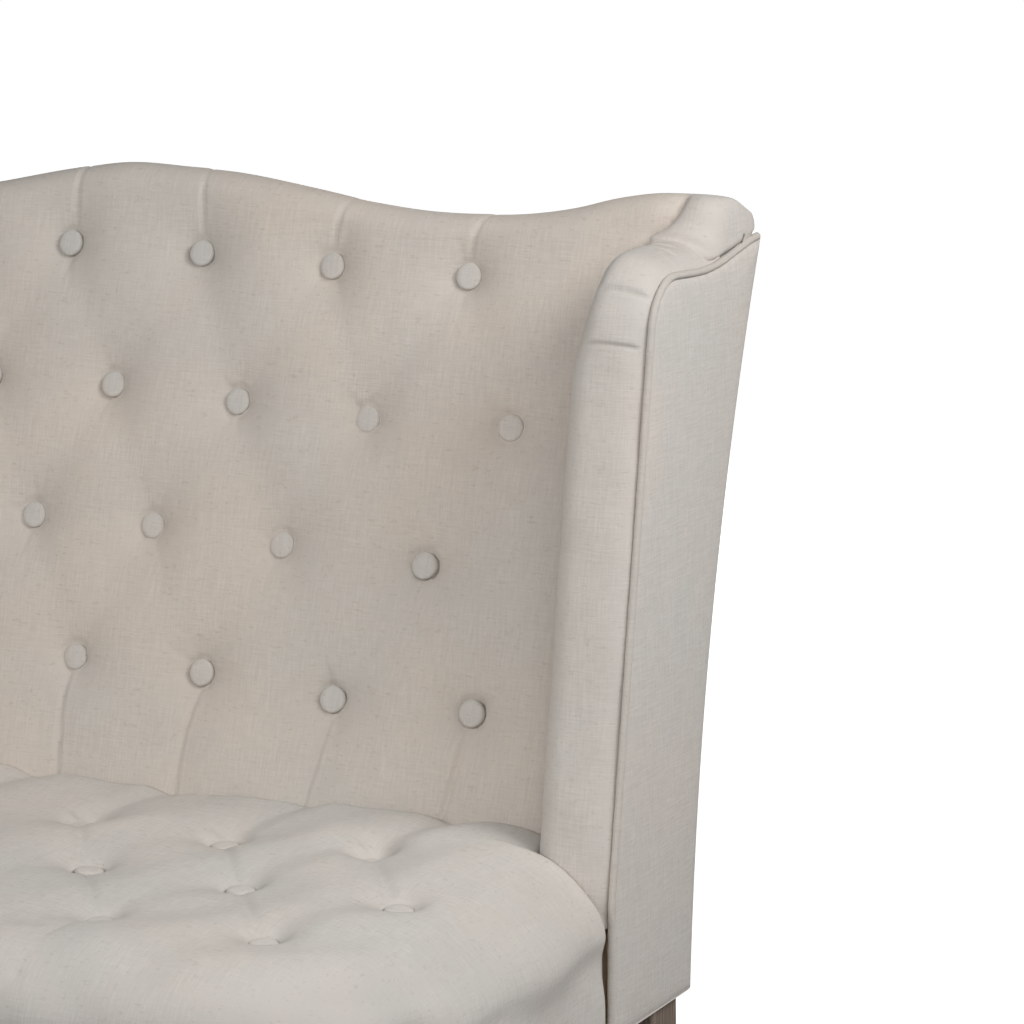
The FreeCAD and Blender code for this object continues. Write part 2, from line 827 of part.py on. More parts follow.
def make_tufted_seat():
    """Thick seat with a rolled edge, in front of the back and between the wings."""
    body = new_body("seat_cushion")
    low = seat_bottom
    high = size("seat_height")
    out = size("back_crown") + ease
    inner_x = wing_inner_x - ease
    front_path = seat_plan(0, seat_ear_y)
    edges = front_path + chain([
        (-seat_reach_x, seat_ear_y),
        (-inner_x, seat_ear_y),
        (-inner_x, button_line_y),
        (inner_x, button_line_y),
        (inner_x, seat_ear_y),
        (seat_reach_x, seat_ear_y),
    ])
    pad(body, sketch_on(body, "XY_Plane", edges, low), high - low)
    above = high + size("seat_sag")
    edges = chain([(half_width, high), (half_width, above), (-half_width, above), (-half_width, high)])
    edges.append(arc((-half_width, high), (0, high - size("seat_sag")), (half_width, high)))
    pocket(body, sketch_on(body, "XZ_Plane", edges))
    far = button_line_y + back_reach
    edges = polygon([
        (slope_depth(low - out, out), low - out),
        (slope_depth(above, out), above),
        (far, above),
        (far, low - out),
    ])
    pocket(body, sketch_on(body, "YZ_Plane", edges))
    roll = "sizes.seat_thickness - sizes.seat_sag - sizes.seat_lip_height"
    round_edges(body, front_path, roll, lambda height: height > (low + high) / 2)

    tools = []
    rows = seat_button_rows()
    depth = size("seat_tuft_depth")
    for place in sum(rows, []):
        tools.append(tuft("seat_tuft", place, size("seat_tuft_radius"), depth))
    for place in corner_button_places():
        tools.append(tuft("corner_tuft", place, size("corner_tuft_radius"), size("corner_tuft_depth")))
    radius = size("seat_channel_radius")
    axis_z = high - size("seat_channel_depth") + radius
    for place in rows[0]:
        start = placed(place.Base.x, place.Base.y, axis_z, (0, 1, 0))
        tools.append(groove("seat_channel", start, radius, size("seat_first_row_reach")))
    subparts.append(cut("tufted_seat", body, fuse("seat_tufts", tools)))


def make_wing_pads():
    """Padding down the inside and over the front of each wing board."""
    body = new_body("wing_padding")
    low = seat_bottom
    out = size("back_crown") + ease
    corners = wing_corners(low, 0, wing_front_height, wing_back_height, 0)
    head_y, front_top = corners[2][:2]
    rear_y, back_top = corners[3][:2]
    end_y = slope_depth(front_top, out)
    end_top = front_top + (back_top - front_top) * (end_y - head_y) / (rear_y - head_y)
    path = rounded_path(corners[:3] + [(end_y, end_top, 0)])
    back = chain([(end_y, end_top), (slope_depth(low, out), low), corners[0][:2]])
    pad(body, sketch_on(body, "YZ_Plane", path + back, wing_inner_x), crest_reach_x - wing_inner_x)
    doc.recompute()
    chosen = []
    for index, edge in enumerate(body.Shape.Edges, start=1):
        inside = all(abs(vertex.X - wing_inner_x) < ease for vertex in edge.Vertexes)
        middle = edge.CenterOfMass
        ahead = middle.y < head_y or middle.z > front_top - ease
        straight = abs(middle.y - (end_y + slope_depth(low, out)) / 2) < ease
        if inside and ahead and not straight and middle.z > low + ease:
            chosen.append("Edge%d" % index)
    add_fillet(body, chosen, "sizes.wing_rounding")

    top = wing_board_top + ease
    setback = size("wing_board_setback") - ease
    room = wing_outline(rail_bottom, setback, top, top, -board_setback)
    board_room = board("board_room", "YZ_Plane", room, 2 * size("wing_board_thickness"), board_inner_x)
    wing = cut("right_wing_pad", body, board_room)
    subparts.extend([wing, mirror("left_wing_pad", wing)])


def make_covers():
    """Outside panels, seat borders and the cloth under the seat."""
    outline = wing_outline(cover_foot, 0, wing_front_height, wing_back_height, 0)
    panel = board("right_outside_panel", "YZ_Plane", outline, "sizes.outside_cover_thickness", panel_inner_x)
    subparts.extend([panel, mirror("left_outside_panel", panel)])

    reach = panel_inner_x - ease
    thickness = size("outside_cover_thickness")
    high = size("overall_height")
    edges = [
        rear_arc(high, cover_foot, 0),
        line((rear_depth(cover_foot, 0), cover_foot), (rear_depth(cover_foot, thickness), cover_foot)),
        rear_arc(high, cover_foot, thickness),
        line((rear_depth(high, thickness), high), (rear_depth(high, 0), high)),
    ]
    curved = board("back_skin", "YZ_Plane", edges, 2 * reach, -reach)
    drop = size("outside_back_drop")
    low = up_slope(rail_bottom - back_reach, 0)
    x, top = crest_points(drop)[-1]
    edges = crest_wave(drop) + chain([
        (x, top),
        (half_width, top),
        (half_width, low),
        (-half_width, low),
        (-half_width, top),
        (-x, top),
    ])
    depth = 2 * back_reach
    shaped = board("back_skin_shape", "XY_Plane", edges, depth, -depth, leaning_place)
    subparts.append(common("outside_back_panel", [curved, shaped]))

    height = seat_bottom - ease - cover_foot
    corner = (-corner_x, front_face_y, cover_foot)
    subparts.append(plank("front_border", 2 * corner_x, "sizes.border_thickness", height, corner))
    outer = size("seat_corner_radius")
    inner = outer - size("border_thickness")
    slant = math.sqrt(0.5)
    edges = [
        line((seat_reach_x, seat_ear_y), (seat_reach_x, corner_y)),
        arc(
            (seat_reach_x, corner_y),
            (corner_x + outer * slant, corner_y - outer * slant),
            (corner_x, front_face_y),
        ),
        line((corner_x, front_face_y), (corner_x, front_rail_y)),
        arc(
            (corner_x, front_rail_y),
            (corner_x + inner * slant, corner_y - inner * slant),
            (corner_x + inner, corner_y),
        ),
        line((corner_x + inner, corner_y), (corner_x + inner, seat_ear_y)),
        line((corner_x + inner, seat_ear_y), (seat_reach_x, seat_ear_y)),
    ]
    border = board("right_border", "XY_Plane", edges, height, cover_foot)
    subparts.extend([border, mirror("left_border", border)])

    low = rail_bottom - size("dust_cover_thickness")
    run = rear_rail_y + size("rail_thickness") - front_rail_y
    corner = (-corner_x, front_rail_y, low)
    subparts.append(plank("dust_cover", 2 * corner_x, run, "sizes.dust_cover_thickness", corner))


def make_welts():
    """Round piping along the outer edge of each wing, from its foot to the rear top."""
    radius = size("welt_diameter") / 2
    setback = -radius - ease
    front_top = wing_front_height - setback
    back_top = wing_back_height - setback
    corners = wing_corners(cover_foot, setback, front_top, back_top, size("welt_diameter"))
    body = new_body("right_welt")
    x = half_width - radius
    path = sketch_on(body, "YZ_Plane", rounded_path(corners), x)
    section = sketch_on(body, "XY_Plane", [], cover_foot)
    centre = vector(x, corners[0][0])
    section.addGeometry(Part.Circle(centre, vector(0, 0, 1), radius), False)
    pipe = body.newObject("PartDesign::AdditivePipe", "welt_pipe")
    pipe.Profile = section
    pipe.Spine = (path, [])
    subparts.extend([body, mirror("left_welt", body)])


# Legs

def make_legs():
    """Four tapered legs with their plates, bolts and glides."""
    plates, bolts = [], []
    half_plate = size("leg_plate_width") / 2
    bolt_half = size("leg_bolt_length") / 2
    foot = size("glide_height")
    bolt_radius = "sizes.leg_bolt_diameter / 2"
    hole_radius = bolt_radius + " + sizes.ease"
    for end, splay in (("front", 0), ("rear", size("rear_leg_splay"))):
        x, y = leg_places[end]
        top = leg_square(end + "_leg_top", x, y, size("leg_top_width"), leg_top)
        bottom = leg_square(end + "_leg_foot", x, y + splay, size("leg_foot_width"), foot)
        leg = doc.addObject("Part::Loft", end + "_leg_shape")
        leg.Sections = [bottom, top]
        leg.Solid = True
        leg.Ruled = True
        low = (x, y, leg_top - bolt_half)
        hole = rod(end + "_leg_hole", low, (0, 0, 1), hole_radius, bolt_half)
        right = cut("%s_right_leg" % end, leg, hole)
        subparts.extend([right, mirror("%s_left_leg" % end, right)])

        name = "%s_right_glide" % end
        glide = rod(name, (x, y + splay, 0), (0, 0, 1), "sizes.glide_width / 2", "sizes.glide_height")
        subparts.extend([glide, mirror("%s_left_glide" % end, glide)])

        bolt = rod(end + "_bolt", low, (0, 0, 1), bolt_radius, "sizes.leg_bolt_length")
        bolts += [bolt, mirror(end + "_left_bolt", bolt)]
        corner = (x - half_plate, y - half_plate, leg_top)
        slab = box(end + "_plate_slab", corner, (x + half_plate, y + half_plate, rail_bottom))
        length = "sizes.leg_plate_thickness"
        hole = rod(end + "_plate_hole", (x, y, leg_top), (0, 0, 1), hole_radius, length)
        plate = cut(end + "_plate", slab, hole)
        plates += [plate, mirror(end + "_left_plate", plate)]
    subparts.append(compound("leg_plates", plates))
    subparts.append(compound("leg_bolts", bolts))


def leg_square(name, x, y, width, height):
    """Square section of a leg with slightly rounded corners."""
    sketch = doc.addObject("Sketcher::SketchObject", name)
    half, radius = width / 2, size("leg_edge_rounding")
    corners = [(half, -half, radius), (half, half, radius), (-half, half, radius), (-half, -half, radius)]
    for edge in rounded_path([(0, -half, 0)] + corners + [(0, -half, 0)]):
        sketch.addGeometry(edge, False)
    sketch.Placement = placed(x, y, height)
    return sketch


make_seat_frame()
make_back_frame()
make_wing_boards()
make_seat_webbing()
make_buttons()
make_tufted_back()
make_tufted_seat()
make_wing_pads()
make_covers()
make_welts()
make_legs()
doc.recompute()

for item in doc.Objects:
    if "Invalid" in item.State or "Error" in item.State:
        print("not computed:", item.Label)
for piece in subparts:
    if piece.Shape.isNull() or not piece.Shape.isValid():
        print("not a valid shape:", piece.Label)
    piece.Shape.exportStep("parts/%s.step" % piece.Label)
print("pieces written:", len(subparts))
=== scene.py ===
import json
import math
import bpy
import numpy as np
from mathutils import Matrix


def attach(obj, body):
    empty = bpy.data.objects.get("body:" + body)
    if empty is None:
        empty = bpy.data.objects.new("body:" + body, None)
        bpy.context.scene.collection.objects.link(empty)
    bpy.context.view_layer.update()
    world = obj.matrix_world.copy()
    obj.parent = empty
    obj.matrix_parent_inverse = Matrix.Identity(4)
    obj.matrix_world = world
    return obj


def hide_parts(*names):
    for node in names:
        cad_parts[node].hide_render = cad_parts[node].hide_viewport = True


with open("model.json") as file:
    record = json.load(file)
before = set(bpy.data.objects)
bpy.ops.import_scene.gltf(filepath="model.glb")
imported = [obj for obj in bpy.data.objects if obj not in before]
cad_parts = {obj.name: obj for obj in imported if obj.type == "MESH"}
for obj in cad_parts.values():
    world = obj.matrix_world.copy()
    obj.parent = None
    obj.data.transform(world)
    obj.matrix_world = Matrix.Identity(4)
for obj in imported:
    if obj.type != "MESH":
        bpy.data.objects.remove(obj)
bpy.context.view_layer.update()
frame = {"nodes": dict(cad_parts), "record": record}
mm = 0.001
rng = np.random.default_rng(7)

# shared places, in metres
lean = math.radians(17.5)
buttonLineY = 0.145
buttonLineZ = 0.565
halfWidth = 0.790
wingInnerX = 0.722
wingOuterX = 0.7923
padOuterX = 0.7878
seatSideX = 0.788
seatCornerX = 0.618
seatFrontY = -0.330
seatCornerY = -0.160
seatEarY = 0.0497
coverFoot = 0.3413
padCrown = 0.012


def leaning(x, up, out):
    # x across, up the slope of the back, out of its front
    x, up, out = np.broadcast_arrays(np.asarray(x, float), up, out)
    y = buttonLineY + up * math.sin(lean) - out * math.cos(lean)
    z = buttonLineZ + up * math.cos(lean) + out * math.sin(lean)
    return np.stack([x, y, z], axis=-1)


def slopeY(z, out):
    # depth of the back's slope at a height
    return buttonLineY + (z - buttonLineZ) * math.tan(lean) - out / math.cos(lean)


def columns(spacing, reach, staggered):
    start = spacing / 2 if staggered else 0.0
    right = np.arange(start, reach + 1e-6, spacing)
    left = -right[right > 0]
    return np.sort(np.concatenate([left, right]))


def smoothStep(value, low, high):
    t = np.clip((value - low) / (high - low), 0, 1)
    return t * t * (3 - 2 * t)


def bell(distance, width):
    return np.exp(-(distance / width) ** 2)


def smoothThrough(points, x):
    # a smooth curve through points (x, value), level at both ends
    xs, values = np.array(points).T
    slopes = np.gradient(values, xs)
    slopes[0] = slopes[-1] = 0
    k = np.clip(np.searchsorted(xs, x) - 1, 0, len(xs) - 2)
    run = xs[k + 1] - xs[k]
    t = np.clip((x - xs[k]) / run, 0, 1)
    rise = (1 + 2 * t) * (1 - t) ** 2 * values[k] + t * t * (3 - 2 * t) * values[k + 1]
    return rise + run * t * (1 - t) * ((1 - t) * slopes[k] - t * slopes[k + 1])


def gentleNoise(points, scale, seed, count=14):
    # a smooth random field: a sum of plane waves
    waves = np.random.default_rng(seed)
    total = np.zeros(points.shape[:-1])
    for _ in range(count):
        direction = waves.normal(size=3)
        direction *= scale * waves.uniform(0.5, 1.6) / np.linalg.norm(direction)
        total += np.sin(points @ direction + waves.uniform(0, 6.28))
    return total / math.sqrt(count)


def toPolyline(points, path):
    # distance from each point to a polyline, and how far along it the nearest place is
    best = np.full(len(points), 9.0)
    along = np.zeros(len(points))
    walked = 0.0
    for start, end in zip(path, path[1:]):
        start, end = np.asarray(start), np.asarray(end)
        run = end - start
        length = np.linalg.norm(run)
        t = np.clip((points - start) @ run / length ** 2, 0, 1)
        gap = np.linalg.norm(points - (start + t[:, None] * run), axis=1)
        nearer = gap < best
        best[nearer] = gap[nearer]
        along[nearer] = walked + t[nearer] * length
        walked += length
    return best, along / walked


def unit(vector):
    return vector / np.linalg.norm(vector)


def tangents(path):
    run = np.gradient(path, axis=0)
    return run / np.linalg.norm(run, axis=1)[:, None]


def walkedLength(path):
    # how far along a path each of its points lies
    return np.concatenate([[0], np.cumsum(np.linalg.norm(np.diff(path, axis=0), axis=1))])


def addObject(name, data):
    added = bpy.data.objects.new(name, data)
    bpy.context.scene.collection.objects.link(added)
    return added


def verticesOf(mesh):
    co = np.empty(len(mesh.vertices) * 3)
    mesh.vertices.foreach_get("co", co)
    return co.reshape(-1, 3)


def newPiece(name, vertices, faces, material, replaced):
    mesh = bpy.data.meshes.new(name)
    mesh.from_pydata([tuple(v) for v in vertices], [], faces)
    mesh.materials.append(material)
    mesh.shade_smooth()
    piece = addObject(name, mesh)
    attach(piece, "root")
    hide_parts(*replaced)
    return piece


def gridFaces(rows, cols, wrapRows=False, wrapCols=False):
    i = np.arange(rows if wrapRows else rows - 1)
    j = np.arange(cols if wrapCols else cols - 1)
    i, j = np.meshgrid(i, j, indexing="ij")
    nextI, nextJ = (i + 1) % rows, (j + 1) % cols
    quads = np.stack([i * cols + j, nextI * cols + j, nextI * cols + nextJ, i * cols + nextJ], axis=-1)
    return [tuple(quad) for quad in quads.reshape(-1, 4).tolist()]


def tubeFaces(rows, cols):
    # a grid whose columns run all round, with a face over each end
    caps = [tuple(range(cols)), tuple(range((rows - 1) * cols, rows * cols))[::-1]]
    return gridFaces(rows, cols, wrapCols=True) + caps


def sheet(name, outer, inner, node):
    # two grids closed all round their edges
    rows, cols = outer.shape[:2]
    offset = rows * cols
    faces = gridFaces(rows, cols)
    faces += [tuple(i + offset for i in reversed(face)) for face in faces]
    loop = list(range(cols)) + [r * cols + cols - 1 for r in range(1, rows)]
    loop += [(rows - 1) * cols + c for c in range(cols - 2, -1, -1)]
    loop += [r * cols for r in range(rows - 2, 0, -1)]
    faces += [(j, i, i + offset, j + offset) for i, j in zip(loop, loop[1:] + loop[:1])]
    both = np.concatenate([outer.reshape(-1, 3), inner.reshape(-1, 3)])
    return newPiece(name, both, faces, linenCloth, [node])


def flipIfInsideOut(piece):
    mesh = piece.data
    co = verticesOf(mesh)
    mesh.calc_loop_triangles()
    tri = np.empty(len(mesh.loop_triangles) * 3, int)
    mesh.loop_triangles.foreach_get("vertices", tri)
    a, b, c = co[tri[0::3]], co[tri[1::3]], co[tri[2::3]]
    if np.einsum("ij,ij->i", a, np.cross(b, c)).sum() < 0:
        mesh.flip_normals()


# materials

def nodeMaterial(name):
    material = bpy.data.materials.new(name)
    material.use_nodes = True
    tree = material.node_tree
    shader = tree.nodes["Principled BSDF"]
    return material, tree, shader


def feed(tree, node, inputs):
    # each input takes a number, a colour or the output of another node
    for key, value in inputs.items():
        socket = node.inputs[key]
        if isinstance(value, bpy.types.NodeSocket):
            tree.links.new(value, socket)
        elif socket.type == "RGBA":
            socket.default_value = (*value, 1)
        else:
            socket.default_value = value


def addNode(tree, kind, inputs):
    node = tree.nodes.new(kind)
    feed(tree, node, inputs)
    return node


def math2(tree, operation, first, second):
    node = addNode(tree, "ShaderNodeMath", {0: first, 1: second})
    node.operation = operation
    return node.outputs[0]


def mixColour(tree, factor, first, second, blend="MIX"):
    node = tree.nodes.new("ShaderNodeMix")
    node.data_type = "RGBA"
    node.blend_type = blend
    feed(tree, node, {0: factor, 6: first, 7: second})  # 6 and 7 are the two colours
    return node.outputs[2]


def noise(tree, coords, stretch, detail=3.0, roughness=0.55):
    mapping = addNode(tree, "ShaderNodeMapping", {"Vector": coords, "Scale": stretch})
    inputs = {"Vector": mapping.outputs[0], "Scale": 1.0, "Detail": detail, "Roughness": roughness}
    return addNode(tree, "ShaderNodeTexNoise", inputs).outputs["Fac"]


def remap(tree, value, low, high, newLow=0.0, newHigh=1.0):
    inputs = {"Value": value, "From Min": low, "From Max": high, "To Min": newLow, "To Max": newHigh}
    return addNode(tree, "ShaderNodeMapRange", inputs).outputs[0]


def objectCoords(tree):
    return tree.nodes.new("ShaderNodeTexCoord").outputs["Object"]


def addBump(tree, shader, height, strength, distance):
    bump = addNode(tree, "ShaderNodeBump", {"Height": height, "Strength": strength, "Distance": distance})
    feed(tree, shader, {"Normal": bump.outputs[0]})


# noise scales are per metre, and a share says how much of a layer shows
weave = {
    "threads": ((900, 55, 55), (55, 900, 55), (55, 55, 900)),
    "mottle": 7,
    "mottleShare": 0.55,
    "slub": (160, 260, 420),
    "slubShare": 0.30,
    "yarnShades": ((0.90, 0.895, 0.89), (1.06, 1.06, 1.06)),
    "grain": 1500,
    "bump": 0.35,
    "bumpDepth": 0.0006,
}


def linen(name, base, warm, cool, dark):
    # plain weave: streaks of uneven yarn in three directions, faded by the way the face looks
    material, tree, shader = nodeMaterial(name)
    coords = objectCoords(tree)
    normal = tree.nodes.new("ShaderNodeNewGeometry").outputs["Normal"]
    split = addNode(tree, "ShaderNodeSeparateXYZ", {0: normal})
    threads = None
    for axis, stretch in enumerate(weave["threads"]):
        facing = math2(tree, "ABSOLUTE", split.outputs[axis], 0)
        weight = math2(tree, "SUBTRACT", 1.0, facing)
        streak = math2(tree, "MULTIPLY", noise(tree, coords, stretch), weight)
        threads = streak if threads is None else math2(tree, "ADD", threads, streak)
    yarn = remap(tree, threads, 0.72, 1.3)
    mottle = noise(tree, coords, (weave["mottle"],) * 3, 4.0)
    colour = mixColour(tree, remap(tree, mottle, 0.36, 0.64), warm, cool)
    colour = mixColour(tree, weave["mottleShare"], base, colour)
    slub = noise(tree, coords, weave["slub"], 2.0)
    colour = mixColour(tree, remap(tree, slub, 0.60, 0.74, 0.0, weave["slubShare"]), colour, dark)
    shade = mixColour(tree, yarn, *weave["yarnShades"])
    grain = noise(tree, coords, (weave["grain"],) * 3, 2.0)
    height = math2(tree, "ADD", math2(tree, "MULTIPLY", yarn, 0.7), math2(tree, "MULTIPLY", grain, 0.5))
    addBump(tree, shader, height, weave["bump"], weave["bumpDepth"])
    feed(tree, shader, {
        "Base Color": mixColour(tree, 1.0, colour, shade, "MULTIPLY"),
        "Roughness": remap(tree, threads, 0.6, 1.4, 0.98, 0.86),
        "Specular IOR Level": 0.08,
        "Sheen Weight": 0.04,
        "Sheen Roughness": 0.6,
    })
    return material


def wood(name, light, middle, dark, scale, roughness):
    # grain runs up the piece, in bands that wander, with open pores
    material, tree, shader = nodeMaterial(name)
    coords = objectCoords(tree)
    broad = noise(tree, coords, (scale * 0.6, scale * 0.6, scale * 0.05), 4.0)
    fine = noise(tree, coords, (scale * 6, scale * 6, scale * 0.14), 5.0, 0.65)
    pore = noise(tree, coords, (scale * 14, scale * 14, scale * 0.5), 2.0)
    colour = mixColour(tree, remap(tree, broad, 0.35, 0.65), middle, light)
    colour = mixColour(tree, remap(tree, fine, 0.42, 0.68, 0.0, 0.75), colour, dark)
    colour = mixColour(tree, remap(tree, pore, 0.60, 0.72, 0.0, 0.8), colour, dark)
    rough = remap(tree, fine, 0.3, 0.7, roughness, roughness + 0.15)
    feed(tree, shader, {"Base Color": colour, "Roughness": rough, "Specular IOR Level": 0.3})
    addBump(tree, shader, math2(tree, "SUBTRACT", fine, pore), 0.5, 0.0005)
    return material


def webbing(name, base, dark):
    material, tree, shader = nodeMaterial(name)
    coords = objectCoords(tree)
    across = noise(tree, coords, (420, 60, 60), 2.0)
    along = noise(tree, coords, (60, 420, 60), 2.0)
    crossed = math2(tree, "MULTIPLY", across, along)
    colour = mixColour(tree, remap(tree, crossed, 0.15, 0.35), dark, base)
    feed(tree, shader, {"Base Color": colour, "Roughness": remap(tree, across, 0.3, 0.7, 0.8, 0.95)})
    addBump(tree, shader, crossed, 1.0, 0.0006)
    return material


def hardPart(name, base, other, metallic, roughness):
    material, tree, shader = nodeMaterial(name)
    wear = noise(tree, objectCoords(tree), (90, 90, 90), 4.0)
    colour = mixColour(tree, remap(tree, wear, 0.4, 0.65), base, other)
    rough = remap(tree, wear, 0.3, 0.7, roughness, roughness + 0.2)
    feed(tree, shader, {"Base Color": colour, "Roughness": rough, "Metallic": metallic})
    return material


# each linen: its own colour, its warm and cool patches, and its slubs
linenColours = {
    "linen": ((0.600, 0.566, 0.528), (0.630, 0.575, 0.525), (0.570, 0.560, 0.530), (0.40, 0.34, 0.27)),
    "linen_back_painted_bounce": ((0.615, 0.556, 0.500), (0.650, 0.572, 0.500), (0.585, 0.556, 0.512), (0.38, 0.32, 0.25)),
    # the back's linen is tinted warmer: partly the cloth's own tone, partly painted warm bounce light in the
    # recess between the wings
    "welt_linen": ((0.560, 0.520, 0.480), (0.590, 0.535, 0.480), (0.530, 0.515, 0.485), (0.36, 0.31, 0.25)),
}
linenCloth, backLinenPaintedBounce, weltCloth = (linen(name, *colours) for name, colours in linenColours.items())
slotMaterials = {
    "linen": linenCloth,
    "welt_linen": weltCloth,
    "oak": wood("oak", (0.30, 0.235, 0.19), (0.19, 0.145, 0.115), (0.075, 0.055, 0.045), 60, 0.6),
    "beech": wood("beech", (0.58, 0.40, 0.24), (0.48, 0.32, 0.19), (0.30, 0.19, 0.11), 40, 0.55),
    "plywood": wood("plywood", (0.60, 0.46, 0.30), (0.52, 0.38, 0.24), (0.36, 0.25, 0.15), 30, 0.6),
    "jute": webbing("jute", (0.46, 0.36, 0.21), (0.22, 0.16, 0.09)),
    "dust_cloth": webbing("dust_cloth", (0.030, 0.028, 0.027), (0.012, 0.011, 0.011)),
    "steel": hardPart("steel", (0.50, 0.50, 0.51), (0.36, 0.35, 0.34), 1.0, 0.35),
    "glide_plastic": hardPart("glide_plastic", (0.035, 0.032, 0.030), (0.06, 0.055, 0.05), 0.0, 0.45),
}
for entry in frame["record"]["subparts"]:
    for materialSlot in frame["nodes"][entry["node"]].material_slots:
        materialSlot.material = slotMaterials[entry["material_slot"]]
print("materials done")


# side view of the wings

wing = {
    "foot": 0.070,
    "head": 0.1385,
    "bendZ": 0.452,
    "bendRadius": 0.2,
    "frontTop": 0.923,
    "backTop": 0.934,
    "shoulder": 0.040,
    "dip": 0.0080,
    "dipFrom": 0.008,  # the dip in the top starts this far behind the head
    "dipShort": 0.010,  # and its run is this much shorter than the top
    "rearY": 0.330,
}


def roundedCorner(before, corner, after, radius, steps):
    # an arc that takes the place of a path's corner
    before, corner, after = map(np.array, (before, corner, after))
    back, onward = unit(before - corner), unit(after - corner)
    half = math.acos(np.clip(back @ onward, -1, 1)) / 2
    reach = radius / math.tan(half)
    centre = corner + unit(back + onward) * radius / math.sin(half)
    first, last = corner + back * reach - centre, corner + onward * reach - centre
    turn = math.pi - 2 * half
    points = []
    for t in np.linspace(0, 1, steps):
        away = (math.sin((1 - t) * turn) * first + math.sin(t * turn) * last) / math.sin(turn)
        points.append(centre + away)
    return points


def wingPath(foot, endY, step=0.004):
    # side view of the wing's edge (y, z), from the foot over the shoulder to a depth
    low, bend = (wing["foot"], foot), (wing["foot"], wing["bendZ"])
    head, rear = (wing["head"], wing["frontTop"]), (wing["rearY"], wing["backTop"])
    share = (endY - head[0]) / (rear[0] - head[0])
    end = (endY, head[1] + share * (rear[1] - head[1]))
    corners = [np.array(low)] + roundedCorner(low, bend, head, wing["bendRadius"], 6)
    corners += roundedCorner(bend, head, rear, wing["shoulder"], 24) + [np.array(end)]
    path = resample(np.array(corners), step)
    run = rear[0] - wing["head"] - wing["dipShort"]
    behind = np.clip((path[:, 0] - wing["head"] - wing["dipFrom"]) / run, 0, 1)
    path[:, 1] -= wing["dip"] * np.sin(math.pi * behind) ** 2
    return path


def resample(path, step):
    lengths = walkedLength(path)
    count = max(2, int(lengths[-1] / step) + 1)
    even = np.linspace(0, lengths[-1], count)
    return np.stack([np.interp(even, lengths, path[:, k]) for k in range(path.shape[1])], axis=1)


def outwardNormals(path):
    # out of the wing, to the front at its foot
    run = tangents(path)
    normals = np.stack([-run[:, 1], run[:, 0]], axis=1)
    return -normals if normals[0][0] > 0 else normals


# tufted back

crest = {
    "line": (
        (0.0, 0.9280), (0.100, 0.9420), (0.175, 0.9577), (0.234, 0.9664), (0.293, 0.9663), (0.348, 0.9632),
        (0.411, 0.9560), (0.465, 0.9489), (0.515, 0.9450), (0.560, 0.9455), (0.611, 0.9493), (0.655, 0.9572),
        (0.690, 0.9668), (0.722, 0.9725), (0.750, 0.9738), (0.790, 0.9738),
    ),
    "rollRadius": 0.024,
    "rollDepth": 0.069,
    "rollHeight": 0.040,
    "frontRadius": 0.020,
    "endFrom": 0.745,  # past this place the crest falls to the rear and its rear roll tightens
    "endX": 0.7872,
    "endRadius": 0.006,
    "endSlit": 0.0008,
    "rearFall": 0.14,
    "rearTighter": 0.55,
    "filletRadius": 0.018,
    "overWelt": 0.0022,  # how far its end stands out above the wing's piping
    "atWelt": -0.0042,
}
backPad = {"low": -0.12, "innerX": 0.7387, "rear": -0.036, "earTop": 0.970, "earHeight": 0.060}
tufts = {
    "spacing": 0.125,
    "rowStep": 0.1161,
    "reach": 0.642,
    "depth": 0.0075,
    "pitWidth": 0.0135,
    "hollow": 0.0042,
    "hollowWidth": 0.040,
    "ring": 0.0014,  # a finer groove at the button's edge
    "folds": 7,
    "foldLength": (0.012, 0.026),
    "foldDepth": (0.0003, 0.0012),
    "pull": (0.0004, 0.0011),
    "pullWidth": 0.015,
}
pleat = {"fold": 0.0030, "foldWidth": 0.0018, "step": 0.0007, "hollow": 0.0009, "hollowWidth": 0.015}
# the seam beside the wing, which curves in towards its foot
earSeam = {
    "x": 0.7505,
    "drawIn": 0.018,
    "footZ": 0.943,
    "curveHeight": 0.027,
    "padZ": 0.9190,  # height of the wing's pad at its edges, and how far its middle rises
    "padRise": 0.0220,
    "fuller": 0.0030,
    "groove": 0.0032,
    "hollow": 0.0036,
}


def upSlope(z):
    # slope height of the crest's top at a height over the floor
    r = crest["rollRadius"]
    return (z - r - buttonLineZ - (padCrown - r) * math.sin(lean)) / math.cos(lean) + r


def crestUp(x):
    return upSlope(smoothThrough(crest["line"], np.abs(x)))


# millimetres that a button sits off its even place: (row, place across) to (across, up the slope)
offEven = {
    (0, 250): (2.2, 2.9), (0, 375): (0.0, 3.6), (0, 500): (0.0, -3.6), (0, 625): (1.9, 0.2),
    (1, 188): (3.9, 0.4), (1, 312): (-3.9, 3.3), (1, 438): (-3.9, -0.4), (1, 562): (3.9, -3.3),
    (2, 250): (0.3, 0.9), (2, 375): (-2.6, -2.9), (2, 500): (-3.9, -6.6), (2, 625): (1.3, -1.7),
    (3, 188): (0.3, 0.6), (3, 312): (5.1, 1.4), (3, 438): (5.8, -0.3), (3, 562): (7.1, 0.7),
}


def backButtons():
    rows = []
    stray = np.random.default_rng(3)
    for row in range(4):
        xs = columns(tufts["spacing"], tufts["reach"], row % 2 == 1)
        places = np.stack([xs, np.full(len(xs), row * tufts["rowStep"])], axis=1)
        shift = stray.uniform(-3, 3, places.shape)
        for index, x in enumerate(xs):
            shift[index] = offEven.get((row, round(x / mm)), shift[index])
        rows.append(places + shift * mm)
    return rows


